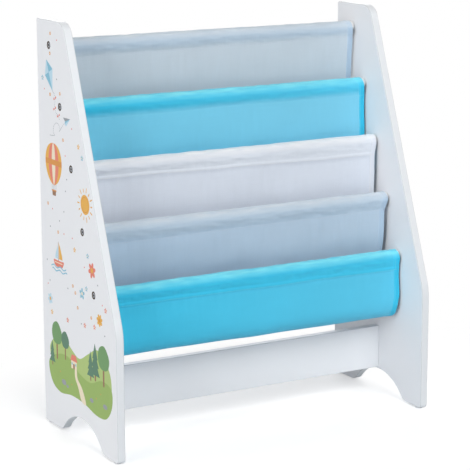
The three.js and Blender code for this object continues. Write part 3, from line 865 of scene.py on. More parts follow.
def bolt_mesh():
    """Bolt drawn along +X with the top of its head at the origin"""
    low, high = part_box("rod_bolt_1_right")
    head, length, shaft, edge = (high.z - low.z) / 2, high.x - low.x, BOLT_SHAFT_RADIUS, BOLT_EDGE
    profile = [(0, -length), (shaft - edge, -length), (shaft, edge - length)]
    profile += [(shaft, -BOLT_HEAD_HEIGHT), (head, -BOLT_HEAD_HEIGHT)]
    profile += [(head - inset, -depth) for inset, depth in quarter(edge)] + [(0, 0)]
    key = bar_profile(SOCKET_RADIUS, -SOCKET_DEPTH, OVERRUN)
    return bored(turned_piece("bolt", profile), turned_piece("bolt_key", key, steps=SOCKET_SIDES), "bolt")


placing = copying_tree("set_in_place", as_placed)
# Painted shade: the dark side ink darkens the sides of each head, the ring round it in its bore.
steel = plated_finish(
    "zinc_plated_steel_painted_shade", light=(178, 180, 184), dark=(152, 155, 160), side=(58, 58, 60), roughness=0.34
)
places, nodes = [], []
for side, sign in SIDES.items():
    for row in ROWS:
        node = f"rod_bolt_{row}_{side}"
        centre = middle(node)
        head_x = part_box(node)[1].x if sign > 0 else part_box(node)[0].x
        places.append(((head_x, centre.y, centre.z), 0 if sign > 0 else math.pi))
        nodes.append(node)
dress(set_in_place("rod_bolts", bolt_mesh(), steel, places), "steel", *nodes)

# Fittings inside the boards, rods and rail
# Brass threaded inserts in the rod ends, steel cam pins and raw beech dowels. They are out of
# sight once the shelf is together, so they keep their plain turned shapes.
brass = plated_finish(
    "machined_brass", light=(206, 172, 104), dark=(176, 140, 78), side=(190, 156, 90), roughness=0.36
)
beech = grained_finish(
    "raw_beech", ink=(214, 182, 138), fleck=(184, 146, 102), scale=(60.0, 900.0, 900.0),
    detail=3.0, depth=0.0001, roughness=0.75,
)
for side in SIDES:
    hidden = {f"rail_cam_pin_{side}": steel}
    hidden |= {f"rod_insert_{row}_{side}": brass for row in ROWS}
    hidden |= {f"rail_dowel_{level}_{side}": beech for level in ("upper", "lower")}
    for name, finish in hidden.items():
        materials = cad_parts[name].data.materials
        materials.clear()
        materials.append(finish)

# Cams
# Two die-cast discs let into the back of the rail, each with a cross slot for a screwdriver.
# A half turn draws the pin in and pulls the rail tight against the board.
CAM_SLOT_LENGTH = 0.009
CAM_SLOT_WIDTH = 0.0016
CAM_SLOT_DEPTH = 0.002
CAM_EDGE = 0.0005
CAM_WINDOW_WIDTH = 0.0076


def blocks(name, *corners):
    """Mesh of closed boxes, each between two corners"""
    shape = bmesh.new()
    for low, high in corners:
        for vertex in bmesh.ops.create_cube(shape, size=1.0)["verts"]:
            vertex.co = Vector([high[i] if vertex.co[i] > 0 else low[i] for i in range(3)])
    return mesh_of(shape, name)


def cam_mesh():
    """Cam drawn about the origin, its face towards +Y"""
    low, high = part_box("rail_cam_right")
    radius, height = (high.z - low.z) / 2, high.y - low.y
    profile = [(0, -height), (radius, -height), (radius, -CAM_EDGE), (radius - CAM_EDGE, 0), (0, 0)]
    blank = turned_piece("cam", profile, FACING_BACK)
    long, wide, half = CAM_SLOT_LENGTH / 2, CAM_SLOT_WIDTH / 2, CAM_WINDOW_WIDTH / 2
    level = blocks("level_slot", ((-long, -CAM_SLOT_DEPTH, -wide), (long, OVERRUN, wide)))
    deep = (rail_low.y - rail_high.y) / 2
    plumb = blocks(
        "plumb_slot",
        ((-wide, -CAM_SLOT_DEPTH, -long), (wide, OVERRUN, long)),
        ((-CAM_SLOT_WIDTH, deep - half, -half), (radius + OVERRUN, deep + half, half)),
    )
    return bored(bored(blank, level, "cam"), plumb, "cam")


zinc = plated_finish(
    "die_cast_zinc", light=(182, 184, 187), dark=(148, 150, 154), side=(166, 168, 171), roughness=0.48
)
nodes = ["rail_cam_left", "rail_cam_right"]
places = [((middle(node).x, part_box(node)[1].y, middle(node).z), 0) for node in nodes]
dress(set_in_place("rail_cams", cam_mesh(), zinc, places), "zinc", *nodes)

# Glides
# Four white plastic discs with a nail moulded in, tapped into the soles of the feet.
GLIDE_EDGE = 0.0006
GLIDE_EDGE_STEPS = 3


def glide_mesh():
    """Glide drawn upright from the floor, nail up"""
    low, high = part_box("foot_glide_front_left")
    radius, thick = (high.x - low.x) / 2, board_low.z - FIT_GAP
    profile = [(0, 0)] + [(radius - inset, rise) for rise, inset in quarter(GLIDE_EDGE, GLIDE_EDGE_STEPS)]
    profile += [(radius, thick), (NAIL_RADIUS, thick), (NAIL_RADIUS, high.z - 2 * NAIL_RADIUS), (0, high.z)]
    return turned_piece("glide", profile, upright())


plastic = grained_finish(
    "white_plastic", ink=(222, 223, 225), fleck=(212, 214, 217),
    scale=60.0, grain=1800.0, depth=0.00004, strength=0.6, roughness=0.45,
)
nodes = [f"foot_glide_{end}_{side}" for end in ("front", "rear") for side in SIDES]
places = [((middle(node).x, middle(node).y, 0), 0) for node in nodes]
dress(set_in_place("foot_glides", glide_mesh(), plastic, places), "glide", *nodes)

# Cloth sling
# Five pieces of plain-woven polyester. Each is sewn into a tunnel round its rod and hangs down
# as a pocket wall; neighbouring pieces are sewn together at the bottoms of the pockets. The side
# edges are turned in and stitched, so hems, tunnels and seams show deeper in colour. The tunnels'
# deeper colour is partly painted shade, and some rows are painted deeper towards the left board;
# the tops of the tunnels carry a painted highlight.
CLOTH = 0.0007
DOUBLE_CLOTH = 0.0012
SLING_SIDE_GAP = 0.003
HEM_WIDTH = 0.011
HEM_STITCH_INSET = 0.0092
HEM_STEP = 0.0004
HEM_COLUMNS = (0, 0.0008, 0.003, 0.006, 0.0088, HEM_WIDTH - HEM_STEP, HEM_WIDTH)
COLUMN_PITCH = 0.0024
TUNNEL_GAP = 0.0009
TUNNEL_FULLNESS = 0.003
TUNNEL_BELLY_DROP = 0.004
TUCK_SLOPE_SHARE = 0.25
SEAM_TAIL = 0.0045
LAYER_OFFSET = 0.00075
LEG_SPREAD = 0.0025
FRONT_BELLY = 0.001
POCKET_DEPTH = 0.117
POCKET_BEND_SHARE = 0.6
FIN_HEIGHT = 0.008
FIN_RADIUS = 0.0015
WALL_STEPS = 30
BEND_STEPS = 14
FIN_STEPS = 4
TUNNEL_STEPS = 14
TUNNEL_RISE_STEPS = 6
TUCK_STEPS = 12
REAR_BAND_STEPS = 5
FRONT_BAND_STEPS = 6
rod_radius = (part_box("rod_1")[1].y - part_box("rod_1")[0].y) / 2
loop_radius = rod_radius + TUNNEL_GAP
tunnel_front = loop_radius + TUNNEL_FULLNESS
sling_half = INNER_X - SLING_SIDE_GAP

# Sizes that differ from row to row; a pair gives the left end and the right end of the row.
SEAM_DROPS = {
    1: (0.0235, 0.018),
    2: (0.0235, 0.023),
    3: (0.019, 0.027),
    4: (0.025, 0.022),
    5: (0.023, 0.025),
}
SEAM_ADVANCES = {
    1: (0.0075, 0.0095),
    2: (0.007, 0.009),
    3: (0.009, 0.0108),
    4: (0.0075, 0.008),
    5: (0.0085, 0.0105),
}
SEAM_BANDS = {1: 0.0015, 2: 0.002, 3: 0.0055, 4: 0.0015, 5: 0.0065}
SEAM_RIDGES = {1: 0.0, 2: 0.0, 3: 0.0004, 4: 0.0, 5: 0.0004}
WALL_LEANS = {1: (0.0, 0.001), 2: (0.004, 0.011), 3: (0.004, 0.001), 4: (0.013, -0.009), 5: (0.0, 0.0)}
TUNNEL_INSETS = {1: 0.003, 2: 0.003, 3: 0.0, 4: 0.0, 5: 0.0}
WALL_INSETS = {1: 0.002, 2: 0.0, 3: 0.0035, 4: 0.005, 5: 0.0}
CREST_INSET = 0.002
BOTTOM_PULL = 0.0065
EDGE_WAVE_STEP = 0.004
EDGE_SMOOTHING = 4
FRONT_POCKET_LIFTS = (0.0035, 0.0)

# How far lines of the cloth stray along a row, and over what length.
WAVES = {
    "seam height": (0.0016, 0.11),
    "seam place": (0.0005, 0.013),
    "belly": (0.0016, 0.09),
    "small belly": (0.0006, 0.02),
    "rear wall": (0.0022, 0.13),
    "front wall": (0.0024, 0.12),
    "small front wall": (0.0008, 0.035),
    "edge": (0.0005, 0.06),
}

# Creases: their depth, their reach across the row and down the cloth, and how far they slant.
CREASES = {
    "pucker": (0.0006, 0.007, 0.05, 0.0),
    "dent": (0.0005, 0.04, 0.02, 0.0),
    "tunnel wrinkle": (0.0008, 0.018, 0.008, 0.8),
    "crest wrinkle": (0.0005, 0.028, 0.0045, 0.4),
    "tunnel end": (0.0012, 0.007, 0.008, 0.0),
    "wall dent": (0.0012, 0.09, 0.045, -0.5),
    "wall end": (0.0008, 0.012, 0.03, 0.0),
}
SEAM_HOLD = 0.004
GATHER_REACH = 0.011
SEED_STEP = 7.3
CREASE_SEED = 0.5

# How deep the colour lies: 1 on doubled cloth and down to 0 where light comes through one layer.
# The depths are partly painted shade: the tunnels are painted deeper, and on some rows the colour
# is deeper at the left end, where the left board shades the cloth.
FACE_DEPTHS_AND_SHADE = {1: (0.1, 0.1), 2: (0.15, 0.0), 3: (0.0, 0.0), 4: (1.0, 0.7), 5: (0.95, 0.6)}
TUNNEL_DEPTHS_AND_SHADE = {1: (0.6, 0.6), 2: (1.0, 0.7), 3: (0.95, 0.95), 4: (0.7, 0.7), 5: (1.0, 0.9)}
SEAM_SHADE_FADES = {1: 0.014, 2: 0.014, 3: 0.0005, 4: 0.014, 5: 0.0005}
# Heights over which the painted highlight rises on the tops of the tunnels, from the rod's axis.
CREST_HIGHLIGHT_FOOT = -0.004
CREST_HIGHLIGHT_RISE = 0.012

# Each slot's cloth where it is doubled or painted in shade, where it is single, its painted
# highlight, and its thread.
CLOTH_INKS = {
    "cloth_grey_blue": ((180, 203, 224), (201, 213, 222), (214, 224, 232), (192, 207, 221)),
    "cloth_bright_blue": ((48, 199, 237), (125, 210, 239), (138, 238, 253), (120, 224, 248)),
    "cloth_light_grey": ((224, 230, 239), (222, 229, 240), (247, 248, 250), (247, 248, 250)),
}
ROW_SLOTS = dict(zip(ROWS, [*CLOTH_INKS, "cloth_grey_blue", "cloth_bright_blue"]))
THREADS_A_METRE = 1500.0
WOBBLE_SCALE = 60.0
WOBBLE_THREADS = 0.6
SLUB_SCALES = ((18.0, 900.0, 1.0), (900.0, 18.0, 1.0))
HIGHLIGHT_PATCH_SCALE = (26.0, 150.0, 1.0)
CLOTH_CLOUDS = 9.0
PLAIN_SHADE = 0.82
WEAVE_SHADE = 0.08
CLOUD_SHADE = 0.1
SLUB_SHADE = 0.07
STITCH_PITCH = 0.0034
STITCH_LENGTH = 0.0029
STITCH_RINGS = 6
STITCH_RISE = 0.35
STITCH_DIP = 2.2
STITCH_TAPER = 0.35
THREAD_RADIUS = 0.00034
THREAD_SIDES = 6
TWIST_SCALE = 900.0
CLOTH_SHARP_ANGLE = math.radians(60)

inner = sling_half - HEM_WIDTH
hem = [x - sling_half for x in HEM_COLUMNS]
between = np.linspace(-inner, inner, round(2 * inner / COLUMN_PITCH) + 1)[1:-1]
columns = np.array([*hem, *between, *[-x for x in reversed(hem)]])


def end_to_end(pair, x):
    """Size at one x, from its values at the left and the right end of a row"""
    return pair[0] + (pair[1] - pair[0]) * (x / sling_half + 1) / 2


def seed(names, name, row):
    """Level of the noise that belongs to one name and one row"""
    return SEED_STEP * (row + len(ROWS) * list(names).index(name))


def wave(name, row, x):
    """How far a line of the cloth strays at one x"""
    depth, length = WAVES[name]
    return depth * noise.noise(Vector((x / length, 0, seed(WAVES, name, row))))


def crease(name, row, x, down):
    """How far a crease lifts the cloth, at one x and one distance down the cloth"""
    depth, reach_x, reach_down, slant = CREASES[name]
    level = seed(CREASES, name, row) + CREASE_SEED
    return depth * noise.noise(Vector(((x - slant * down) / reach_x, down / reach_down, level)))


def pocket_of(row, x):
    """Rear wall, front wall and lowest point of the pocket between a rod and the next one down"""
    rear, front = rod_axes[row], rod_axes[row + 1]
    lowest = front.z - POCKET_DEPTH + DOUBLE_CLOTH / 2
    if row + 1 < ROWS[-1]:
        return rear.y - LEG_SPREAD, front.y + LEG_SPREAD, lowest
    lift = end_to_end(FRONT_POCKET_LIFTS, x)
    return rear.y - LEG_SPREAD, front.y - tunnel_front - FRONT_BELLY, lowest + lift


def straight(start, end, count):
    """Line without its first point"""
    return np.linspace(start, end, count + 1)[1:]


def soft_curve(start, first, second, end, count):
    """Curve from the start towards the first point and on to the end, without the start itself"""
    t = straight(0, 1, count)[:, None]
    start, first, second, end = (np.array(p) for p in (start, first, second, end))
    return (1 - t) ** 3 * start + 3 * (1 - t) ** 2 * t * first + 3 * (1 - t) * t**2 * second + t**3 * end


def quarter_turn(centre, reach, rise, count, start=0.0):
    """Arc without its first point, from the end of the reach to the end of the rise"""
    t = straight(start, math.pi / 2, count)
    return np.stack([centre[0] + reach * np.cos(t), centre[1] + rise * np.sin(t)], axis=1)


def leg(seam, wall_y, pocket, swing):
    """Cloth from its seam down one wall of a pocket, round the bottom and up its side of the fin"""
    back_wall, front_wall, lowest = pocket
    centre_y = (back_wall + front_wall) / 2
    inward = math.copysign(1, centre_y - wall_y)
    fin_y = centre_y - inward * (FIN_RADIUS + LAYER_OFFSET)
    bend = POCKET_BEND_SHARE * (back_wall - front_wall)
    halfway = seam[1] - (seam[1] - lowest - bend) / 2
    wall = soft_curve(seam, (seam[0], halfway), (wall_y, halfway), (wall_y, lowest + bend), WALL_STEPS)
    wall[:, 0] += swing * np.sin(np.pi * straight(0, 1, WALL_STEPS))
    turn = quarter_turn((0, 0), 1, 1, FIN_STEPS)
    hook = (fin_y + inward * FIN_RADIUS * turn[:, 1], lowest + FIN_RADIUS * (1 - turn[:, 0]))
    tip_y = fin_y + inward * FIN_RADIUS
    return [
        ("wall", wall),
        ("bend", quarter_turn((fin_y, lowest + bend), wall_y - fin_y, -bend, BEND_STEPS)),
        ("fin", np.stack(hook, axis=1)),
        ("fin", straight((tip_y, lowest + FIN_RADIUS), (tip_y, lowest + FIN_HEIGHT), FIN_STEPS)),
    ]


def tunnel(rod, rear, front, reach):
    """Cloth from the rear of the seam tight over the rod, then loosely down to its front"""
    run = Vector((rear[0] - rod.y, rear[1] - rod.z))
    angle = math.atan2(run.y, run.x) + math.acos(loop_radius / run.length)
    meet = (rod.y + loop_radius * math.cos(angle), rod.z + loop_radius * math.sin(angle))
    belly = (rod.y - reach, rod.z - TUNNEL_BELLY_DROP)
    over = quarter_turn((rod.y, belly[1]), -reach, loop_radius + TUNNEL_BELLY_DROP, TUNNEL_STEPS)
    fall = (belly[1] - front[1]) / 3
    turned_in = front[0] - TUCK_SLOPE_SHARE * (front[0] - belly[0])
    tuck = soft_curve(belly, (belly[0], belly[1] - fall), (turned_in, front[1] + fall), front, TUCK_STEPS)
    return [
        ("tunnel", straight(rear, meet, TUNNEL_RISE_STEPS)),
        ("tunnel", quarter_turn((rod.y, rod.z), loop_radius, loop_radius, TUNNEL_STEPS, angle)),
        ("tunnel", over[-2::-1]),
        ("tunnel", np.vstack([[belly], tuck])),
    ]


def sling_column(row, x):
    """Line of the cloth across the rods at one x, as parts from rear to front"""
    rod = rod_axes[row]
    is_last = row == ROWS[-1]
    bottom = rod.z - end_to_end(SEAM_DROPS[row], x) - wave("seam height", row, x) - HEM_STEP
    top = min(bottom + SEAM_BANDS[row], rod.z - loop_radius - 2 * HEM_STEP)
    reach = tunnel_front + wave("belly", row, x) + wave("small belly", row, x)
    seam_y = rod.y - end_to_end(SEAM_ADVANCES[row], x) + wave("seam place", row, x)
    rear_y, front_y = seam_y + LAYER_OFFSET, seam_y - LAYER_OFFSET
    back_lean, front_lean = WALL_LEANS[row]

    if row == ROWS[0] or is_last:
        parts = [("tail", np.array([[rear_y + HEM_STEP, bottom - SEAM_TAIL]]))]
    else:
        pocket = pocket_of(row - 1, x)
        start = (rear_y, bottom - HEM_STEP)
        rear_leg = leg(start, pocket[1] + back_lean, pocket, wave("rear wall", row, x))
        parts = [(name, points[::-1]) for name, points in reversed(rear_leg)]
        parts.append(("wall", np.array([start])))
    parts.append(("band", np.linspace((rear_y, bottom), (rear_y, top), REAR_BAND_STEPS + 1)))
    parts += tunnel(rod, (rear_y, top), (front_y, top), reach)
    edge = straight((front_y, top), (front_y, bottom), FRONT_BAND_STEPS)
    edge[:, 0] -= SEAM_RIDGES[row] * np.sin(straight(0, np.pi, FRONT_BAND_STEPS)) ** 2
    pocket = pocket_of(row - 1 if is_last else row, x)
    wall_y = (pocket[1] if is_last else pocket[0]) - front_lean
    start = (front_y, bottom - HEM_STEP)
    swing = wave("front wall", row, x) + wave("small front wall", row, x)
    return parts + [("band", edge), ("wall", np.array([start]))] + leg(start, wall_y, pocket, swing)


def places_of(parts, *names):
    """Where along the cloth the named parts lie"""
    return [i for i, part in enumerate(parts) if part in names]


def edge_insets(row, heights, parts):
    """How far each place along the cloth stays inside its full width"""
    insets = []
    bends = places_of(parts, "bend")
    seam_height = heights[parts.index("band")]
    for i, (part, height) in enumerate(zip(parts, heights)):
        inset = HEM_STEP + abs(wave("edge", row, i * EDGE_WAVE_STEP))
        if part in ("tunnel", "tail"):
            crest = min(max(height / loop_radius, 0), 1)
            below = min(max(height / seam_height, 0), 1)
            inset += TUNNEL_INSETS[row] * (1 - below) + CREST_INSET * crest**2 + WALL_INSETS[row] * below
        else:
            inset += WALL_INSETS[row]
        if part == "bend":
            place = min(abs(i - end) for end in (bends[0], bends[-1])) / BEND_STEPS
            inset += BOTTOM_PULL * (1 - min(place, 1)) ** 2
        if part == "fin":
            inset += BOTTOM_PULL
        insets.append(inset)
    width = 2 * EDGE_SMOOTHING + 1
    return np.convolve(np.pad(insets, EDGE_SMOOTHING, mode="edge"), np.ones(width) / width, mode="valid")


def sling_grid(row):
    """Points of the cloth by column and place along it, with the part that each belongs to"""
    lines = [sling_column(row, x) for x in columns]
    parts = [name for name, points in lines[0] for _ in points]
    lines = np.array([np.concatenate([points for _, points in line]) for line in lines])
    insets = edge_insets(row, lines[0, :, 1] - rod_axes[row].z, parts)
    across = columns[:, None] * (1 - insets / sling_half)[None, :]
    return np.concatenate([across[:, :, None], lines], axis=2), parts


def above_seams(parts, run):
    """How far each place lies above the lower edge of the nearer seam, and below 0 past it"""
    bands = places_of(parts, "band")
    return np.minimum(run - run[bands[0]], run[bands[-1]] - run)


def sling_creases(grid, parts, row):
    """Gathers at the seam and the tunnel's ends, and soft dents elsewhere, in and out of the cloth"""
    normal = np.cross(np.gradient(grid, axis=0), np.gradient(grid, axis=1))
    normal /= np.linalg.norm(normal, axis=2, keepdims=True)
    steps = np.linalg.norm(np.diff(grid[len(grid) // 2], axis=0), axis=1)
    run = np.concatenate([[0], np.cumsum(steps)])
    above = above_seams(parts, run)
    for i, part in enumerate(parts):
        if part in ("band", "fin", "tail"):
            continue
        if part == "tunnel":
            clear, names, tip = above[i] - SEAM_BANDS[row], ("tunnel wrinkle", "crest wrinkle"), "tunnel end"
        else:
            clear, names, tip = -above[i], ("wall dent",), "wall end"
        loose = 1 - math.exp(-((clear / SEAM_HOLD) ** 2))
        near = math.exp(-clear / GATHER_REACH)
        for j, x in enumerate(grid[:, 0, 0]):
            end = math.exp((abs(x) - sling_half) / GATHER_REACH)
            lift = sum(crease(name, row, x, run[i]) for name in ("dent", *names))
            lift += near * crease("pucker", row, x, run[i]) + end * crease(tip, row, x, run[i])
            grid[j, i] += loose * lift * normal[j, i]
    return normal, run


def cloth_finish(slot):
    """Plain weave on the cloth's own UV map; layers is 1 where the cloth is doubled and
    carries painted shade, and the crest attribute carries the painted highlight
    """
    doubled, single, painted_highlight, _ = (rgb(ink) for ink in CLOTH_INKS[slot])
    made, tree, shader = new_finish(slot, roughness=0.8, sheen_weight=0.15, sheen_roughness=0.45)
    place = add(tree, "ShaderNodeUVMap", uv_map="weave").outputs[0]
    layers, crest = (
        add(tree, "ShaderNodeAttribute", attribute_name=name).outputs["Fac"] for name in ("layers", "crest")
    )
    split = add(tree, "ShaderNodeSeparateXYZ", {0: place}).outputs
    wobble = calc(tree, "MULTIPLY", speckle(tree, place, WOBBLE_SCALE), WOBBLE_THREADS)
    counts = [summed(tree, wobble, (split[axis], THREADS_A_METRE)) for axis in range(2)]
    parity = calc(tree, "ADD", *[calc(tree, "FLOOR", count) for count in counts])
    over = calc(tree, "FLOORED_MODULO", parity, 2.0)
    warp, weft = (
        calc(tree, "ABSOLUTE", calc(tree, "SINE", calc(tree, "MULTIPLY", count, math.pi))) for count in counts
    )
    height = summed(tree, calc(tree, "MULTIPLY", warp, over), (weft, calc(tree, "SUBTRACT", 1.0, over)))
    # Painted highlight: the tops of the tunnels take the lighter ink in soft patches.
    highlight_patches = speckle(tree, place, HIGHLIGHT_PATCH_SCALE, detail=1.0)
    highlight_mottle = ranged(tree, highlight_patches, low=0.5, high=1.0, first=0.3, last=0.7)
    # Painted shade: layers deepens the colour in the tunnels and towards the left board.
    plain = mixed(tree, layers, single, doubled)
    base = mixed(tree, calc(tree, "MULTIPLY", crest, highlight_mottle), plain, painted_highlight)
    clouds = (speckle(tree, place, CLOTH_CLOUDS), CLOUD_SHADE)
    slubs = [(speckle(tree, place, scale), SLUB_SHADE) for scale in SLUB_SCALES]
    shade = summed(tree, PLAIN_SHADE, (height, WEAVE_SHADE), clouds, *slubs)
    woven = add(tree, "ShaderNodeVectorMath", {0: base, "Scale": shade}, operation="SCALE").outputs[0]
    paint_on(tree, shader, woven, height, depth=0.00012, strength=0.7)
    return made


def thread_finish(slot):
    """Twisted sewing thread, dyed to go with the cloth that it holds"""
    made, tree, shader = new_finish(f"thread_{slot}", roughness=0.6, sheen_weight=0.4)
    inputs = {"Vector": object_place(tree), "Scale": TWIST_SCALE}
    twist = add(tree, "ShaderNodeTexWave", inputs, bands_direction="DIAGONAL").outputs["Fac"]
    ink = CLOTH_INKS[slot][3]
    paint_on(tree, shader, mixed(tree, twist, rgb(ink), rgb(ink, shade=0.9)), twist, depth=0.00005)
    return made


def cloth_mesh(row, grid, parts, run):
    """Sheet from the grid, with its weave map, its layers and painted shade, and its crest, as one surface"""
    count = len(parts)
    mesh = bpy.data.meshes.new(f"sling_cloth_{row}")
    starts = [j * count + i for j in range(len(columns) - 1) for i in range(count - 1)]
    faces = [(k, k + count, k + count + 1, k + 1) for k in starts]
    mesh.from_pydata(grid.reshape(-1, 3).tolist(), [], faces)
    weave = mesh.uv_layers.new(name="weave")
    corners = np.zeros(len(mesh.loops), np.int32)
    mesh.loops.foreach_get("vertex_index", corners)
    spots = np.stack([np.repeat(grid[:, count // 2, 0], count), np.tile(run, len(columns))], axis=1)
    weave.uv.foreach_set("vector", spots[corners].astype(np.float32).ravel())
    in_hem = (np.abs(columns) > sling_half - HEM_WIDTH + HEM_STEP / 2)[:, None]
    thick = ("band", "tail", "fin") if SEAM_RIDGES[row] else ("tail", "fin")
    sewn = np.array([part in thick for part in parts])[None, :]
    # Painted shade: above the seam the colour deepens to the tunnel's depth; some rows deepen to the left.
    rise = np.clip(above_seams(parts, run) / SEAM_SHADE_FADES[row], 0, 1)
    face, deep = (end_to_end(depths[row], columns)[:, None] for depths in (FACE_DEPTHS_AND_SHADE, TUNNEL_DEPTHS_AND_SHADE))
    store(mesh, "layers", np.where(in_hem, 1.0, face + (deep - face) * (rise**2 * (3 - 2 * rise))[None, :]))
    # Mask for the painted highlight: how high up the tunnel each place lies.
    in_tunnel = np.array([part == "tunnel" for part in parts])[None, :]
    height = (grid[:, :, 2] - rod_axes[row].z - CREST_HIGHLIGHT_FOOT) / CREST_HIGHLIGHT_RISE
    store(mesh, "crest", np.where(in_tunnel, np.clip(height, 0, 1), 0.0))
    return mesh, (in_hem | sewn).ravel()


def thread_mesh():
    """One stitch: a short thread along X that dips into the cloth at both ends"""
    shape = bmesh.new()
    rings = []
    for t in np.linspace(0, 1, STITCH_RINGS + 1):
        x, outward = STITCH_LENGTH * (t - 0.5), abs(2 * t - 1)
        lift = THREAD_RADIUS * (STITCH_RISE - STITCH_DIP * outward**4)
        swell = THREAD_RADIUS * (1 - STITCH_TAPER * outward**2)
        angles = [math.tau * k / THREAD_SIDES for k in range(THREAD_SIDES)]
        spots = [(x, swell * math.cos(a), lift + swell * math.sin(a)) for a in angles]
        rings.append([shape.verts.new(spot) for spot in ([(x, 0, lift)] if outward == 1 else spots)])
    skin_rings(shape, rings)
    return mesh_of(shape, "stitch")


def along_lines(tree, given):
    """Places at a pitch along edges that lie on the cloth, each with its face turned out"""
    curve = add(tree, "GeometryNodeMeshToCurve", {0: given["Places"]}).outputs[0]
    length = {"Curve": curve, "Length": given["Pitch"]}
    spaced = add(tree, "GeometryNodeResampleCurve", length, mode="LENGTH")
    along = add(tree, "GeometryNodeInputTangent").outputs[0]
    axes = {"Primary Axis": stored(tree, "out"), "Secondary Axis": along}
    facing = add(tree, "FunctionNodeAxesToRotation", axes, primary_axis="Z", secondary_axis="X")
    return spaced.outputs[0], facing.outputs[0]


def stitch_lines(row, grid, normal, parts):
    """Edges for the stitches: along the seam and down both hems, on both faces of the cloth"""
    bands, sewn = places_of(parts, "band"), places_of(parts, "wall", "tunnel", "band")
    seam_lift = -(DOUBLE_CLOTH if SEAM_RIDGES[row] else CLOTH) / 2
    lines = [((slice(2, -2), line), seam_lift) for line in (bands[-2], bands[1])]
    for sign in (-1, 1):
        near = int(np.abs(columns - sign * (sling_half - HEM_STITCH_INSET)).argmin())
        down = (near, slice(sewn[1], sewn[-1]))
        lines += [(down, -DOUBLE_CLOTH / 2), (down, DOUBLE_CLOTH / 2)]
    spots, outs, edges = [], [], []
    for line, lift in lines:
        first = len(spots)
        spots.extend(grid[line] + lift * normal[line])
        outs.extend(math.copysign(1, lift) * normal[line])
        edges.extend((k, k + 1) for k in range(first, len(spots) - 1))
    mesh = bpy.data.meshes.new("stitch_lines")
    mesh.from_pydata([tuple(spot) for spot in spots], edges, [])
    store(mesh, "out", outs, "FLOAT_VECTOR")
    return mesh


stitching = copying_tree("stitch_line", along_lines, Pitch="Float")
cloths = {slot: cloth_finish(slot) for slot in CLOTH_INKS}
threads = {slot: thread_finish(slot) for slot in CLOTH_INKS}
for row, slot in ROW_SLOTS.items():
    grid, parts = sling_grid(row)
    normal, run = sling_creases(grid, parts, row)
    mesh, doubled = cloth_mesh(row, grid, parts, run)
    mesh.materials.append(cloths[slot])
    sheet = show(mesh, f"sling_cloth_{row}_single")
    sheet.vertex_groups.new(name="doubled").add(np.flatnonzero(doubled).tolist(), 1.0, "REPLACE")
    thin = {"vertex_group": "doubled", "thickness_vertex_group": CLOTH / DOUBLE_CLOTH}
    solid = worked(sheet, "SOLIDIFY", thickness=DOUBLE_CLOTH, offset=0.0, **thin)
    cloth = show(smoothed(solid, CLOTH_SHARP_ANGLE), f"sling_cloth_{row}")
    dress(cloth, slot, f"sling_piece_{row}")
    lines = stitch_lines(row, grid, normal, parts)
    name = f"sling_stitches_{row}"
    stitches = copied(stitching, lines, name, thread_mesh(), threads[slot], Pitch=STITCH_PITCH)
    mount(stitches)

# Studio
# A plain floor keeps a faint shadow under the shelf and, seen directly, is topped up to white by
# what the lamps leave it short of. Large soft lamps stand all round, each with its turn, rise and
# power: the strongest in front, on the left and behind, and weaker ones between them.
FLOOR_REACH = 30.0
FLOOR_GREY = (0.57, 0.6, 0.63, 1.0)
FLOOR_WHITE = (0.8, 0.8, 0.8, 1.0)
LIT_FLOOR = 0.62
SHADOW_SHARE = 0.95
SHADOW_FULL_REACH = 0.3
SHADOW_LAST_REACH = 0.8
SHADOW_STRETCH = (1.0, 1.5, 1.0)
AMBIENT = (0.1, 0.1, 0.1, 1.0)
WHITE = (1.0, 1.0, 1.0, 1.0)
LAMP_DISTANCE = 8.0
LAMP_SIZE = 5.0
LAMPS = {
    "key": (-72, 15, 318.0),
    "front": (0, 39, 381.0),
    "fill": (42, 20, 26.0),
    "rim": (-108, 20, 90.0),
    "rear": (152, 14, 290.0),
    "side": (98, 10, 175.0),
}
LAMP_AIM = Vector((0, 0, 0.35))


def seen_directly(tree):
    """1 for rays from the camera, and for those that a shiny or clear surface sends on"""
    rays = add(tree, "ShaderNodeLightPath").outputs
    glossy = calc(tree, "MAXIMUM", rays["Is Glossy Ray"], rays["Is Transmission Ray"])
    return calc(tree, "MAXIMUM", rays["Is Camera Ray"], glossy)


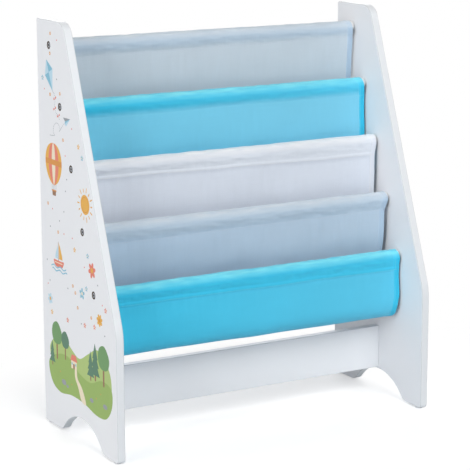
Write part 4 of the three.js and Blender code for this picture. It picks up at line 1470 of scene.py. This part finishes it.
floor_mesh = bpy.data.meshes.new("floor")
corners = [(-1, -1), (1, -1), (1, 1), (-1, 1)]
floor_mesh.from_pydata([(x * FLOOR_REACH, y * FLOOR_REACH, 0) for x, y in corners], [], [(0, 1, 2, 3)])
floor_paint, tree, shader = new_finish("studio_floor", roughness=0.9)
seen = seen_directly(tree)
tree.links.new(mixed(tree, seen, FLOOR_GREY, FLOOR_WHITE), shader.inputs["Base Color"])
place = {0: object_place(tree), 1: SHADOW_STRETCH}
stretched = add(tree, "ShaderNodeVectorMath", place, operation="MULTIPLY").outputs[0]
reach = add(tree, "ShaderNodeVectorMath", {0: stretched}, operation="LENGTH").outputs["Value"]
fade = {
    "Value": reach,
    "From Min": SHADOW_FULL_REACH,
    "From Max": SHADOW_LAST_REACH,
    "To Min": 1 - SHADOW_SHARE,
}
clear = add(tree, "ShaderNodeMapRange", fade, interpolation_type="SMOOTHSTEP").outputs[0]
white_share = calc(tree, "MULTIPLY", seen, clear)
lamp_light = calc(tree, "MULTIPLY", calc(tree, "SUBTRACT", 1.0, white_share), LIT_FLOOR)
top_up = calc(tree, "MULTIPLY", seen, calc(tree, "SUBTRACT", 1.0, lamp_light))
glow = add(tree, "ShaderNodeEmission", {"Color": WHITE, "Strength": top_up})
lit = add(tree, "ShaderNodeMixShader", {0: white_share, 1: shader.outputs[0]})
whole = add(tree, "ShaderNodeAddShader", {0: lit.outputs[0], 1: glow.outputs[0]})
tree.links.new(whole.outputs[0], tree.nodes["Material Output"].inputs["Surface"])
floor_mesh.materials.append(floor_paint)
show(floor_mesh, "floor")

world = bpy.data.worlds.new("studio")
scene.world = world
world.use_nodes = True
tree = world.node_tree
backdrop = mixed(tree, seen_directly(tree), AMBIENT, WHITE)
tree.links.new(backdrop, tree.nodes["Background"].inputs["Color"])

for name, (turn, rise, power) in LAMPS.items():
    light = bpy.data.lights.new(name, "AREA")
    light.shape = "DISK"
    light.size = LAMP_SIZE
    light.energy = power
    lamp = bpy.data.objects.new(name, light)
    around, over = math.radians(turn), math.radians(rise)
    level = Vector((math.sin(around), -math.cos(around), 0)) * math.cos(over)
    towards = level + Vector((0, 0, math.sin(over)))
    lamp.location = LAMP_AIM + LAMP_DISTANCE * towards
    lamp.rotation_euler = towards.to_track_quat("Z", "Y").to_euler()
    scene.collection.objects.link(lamp)
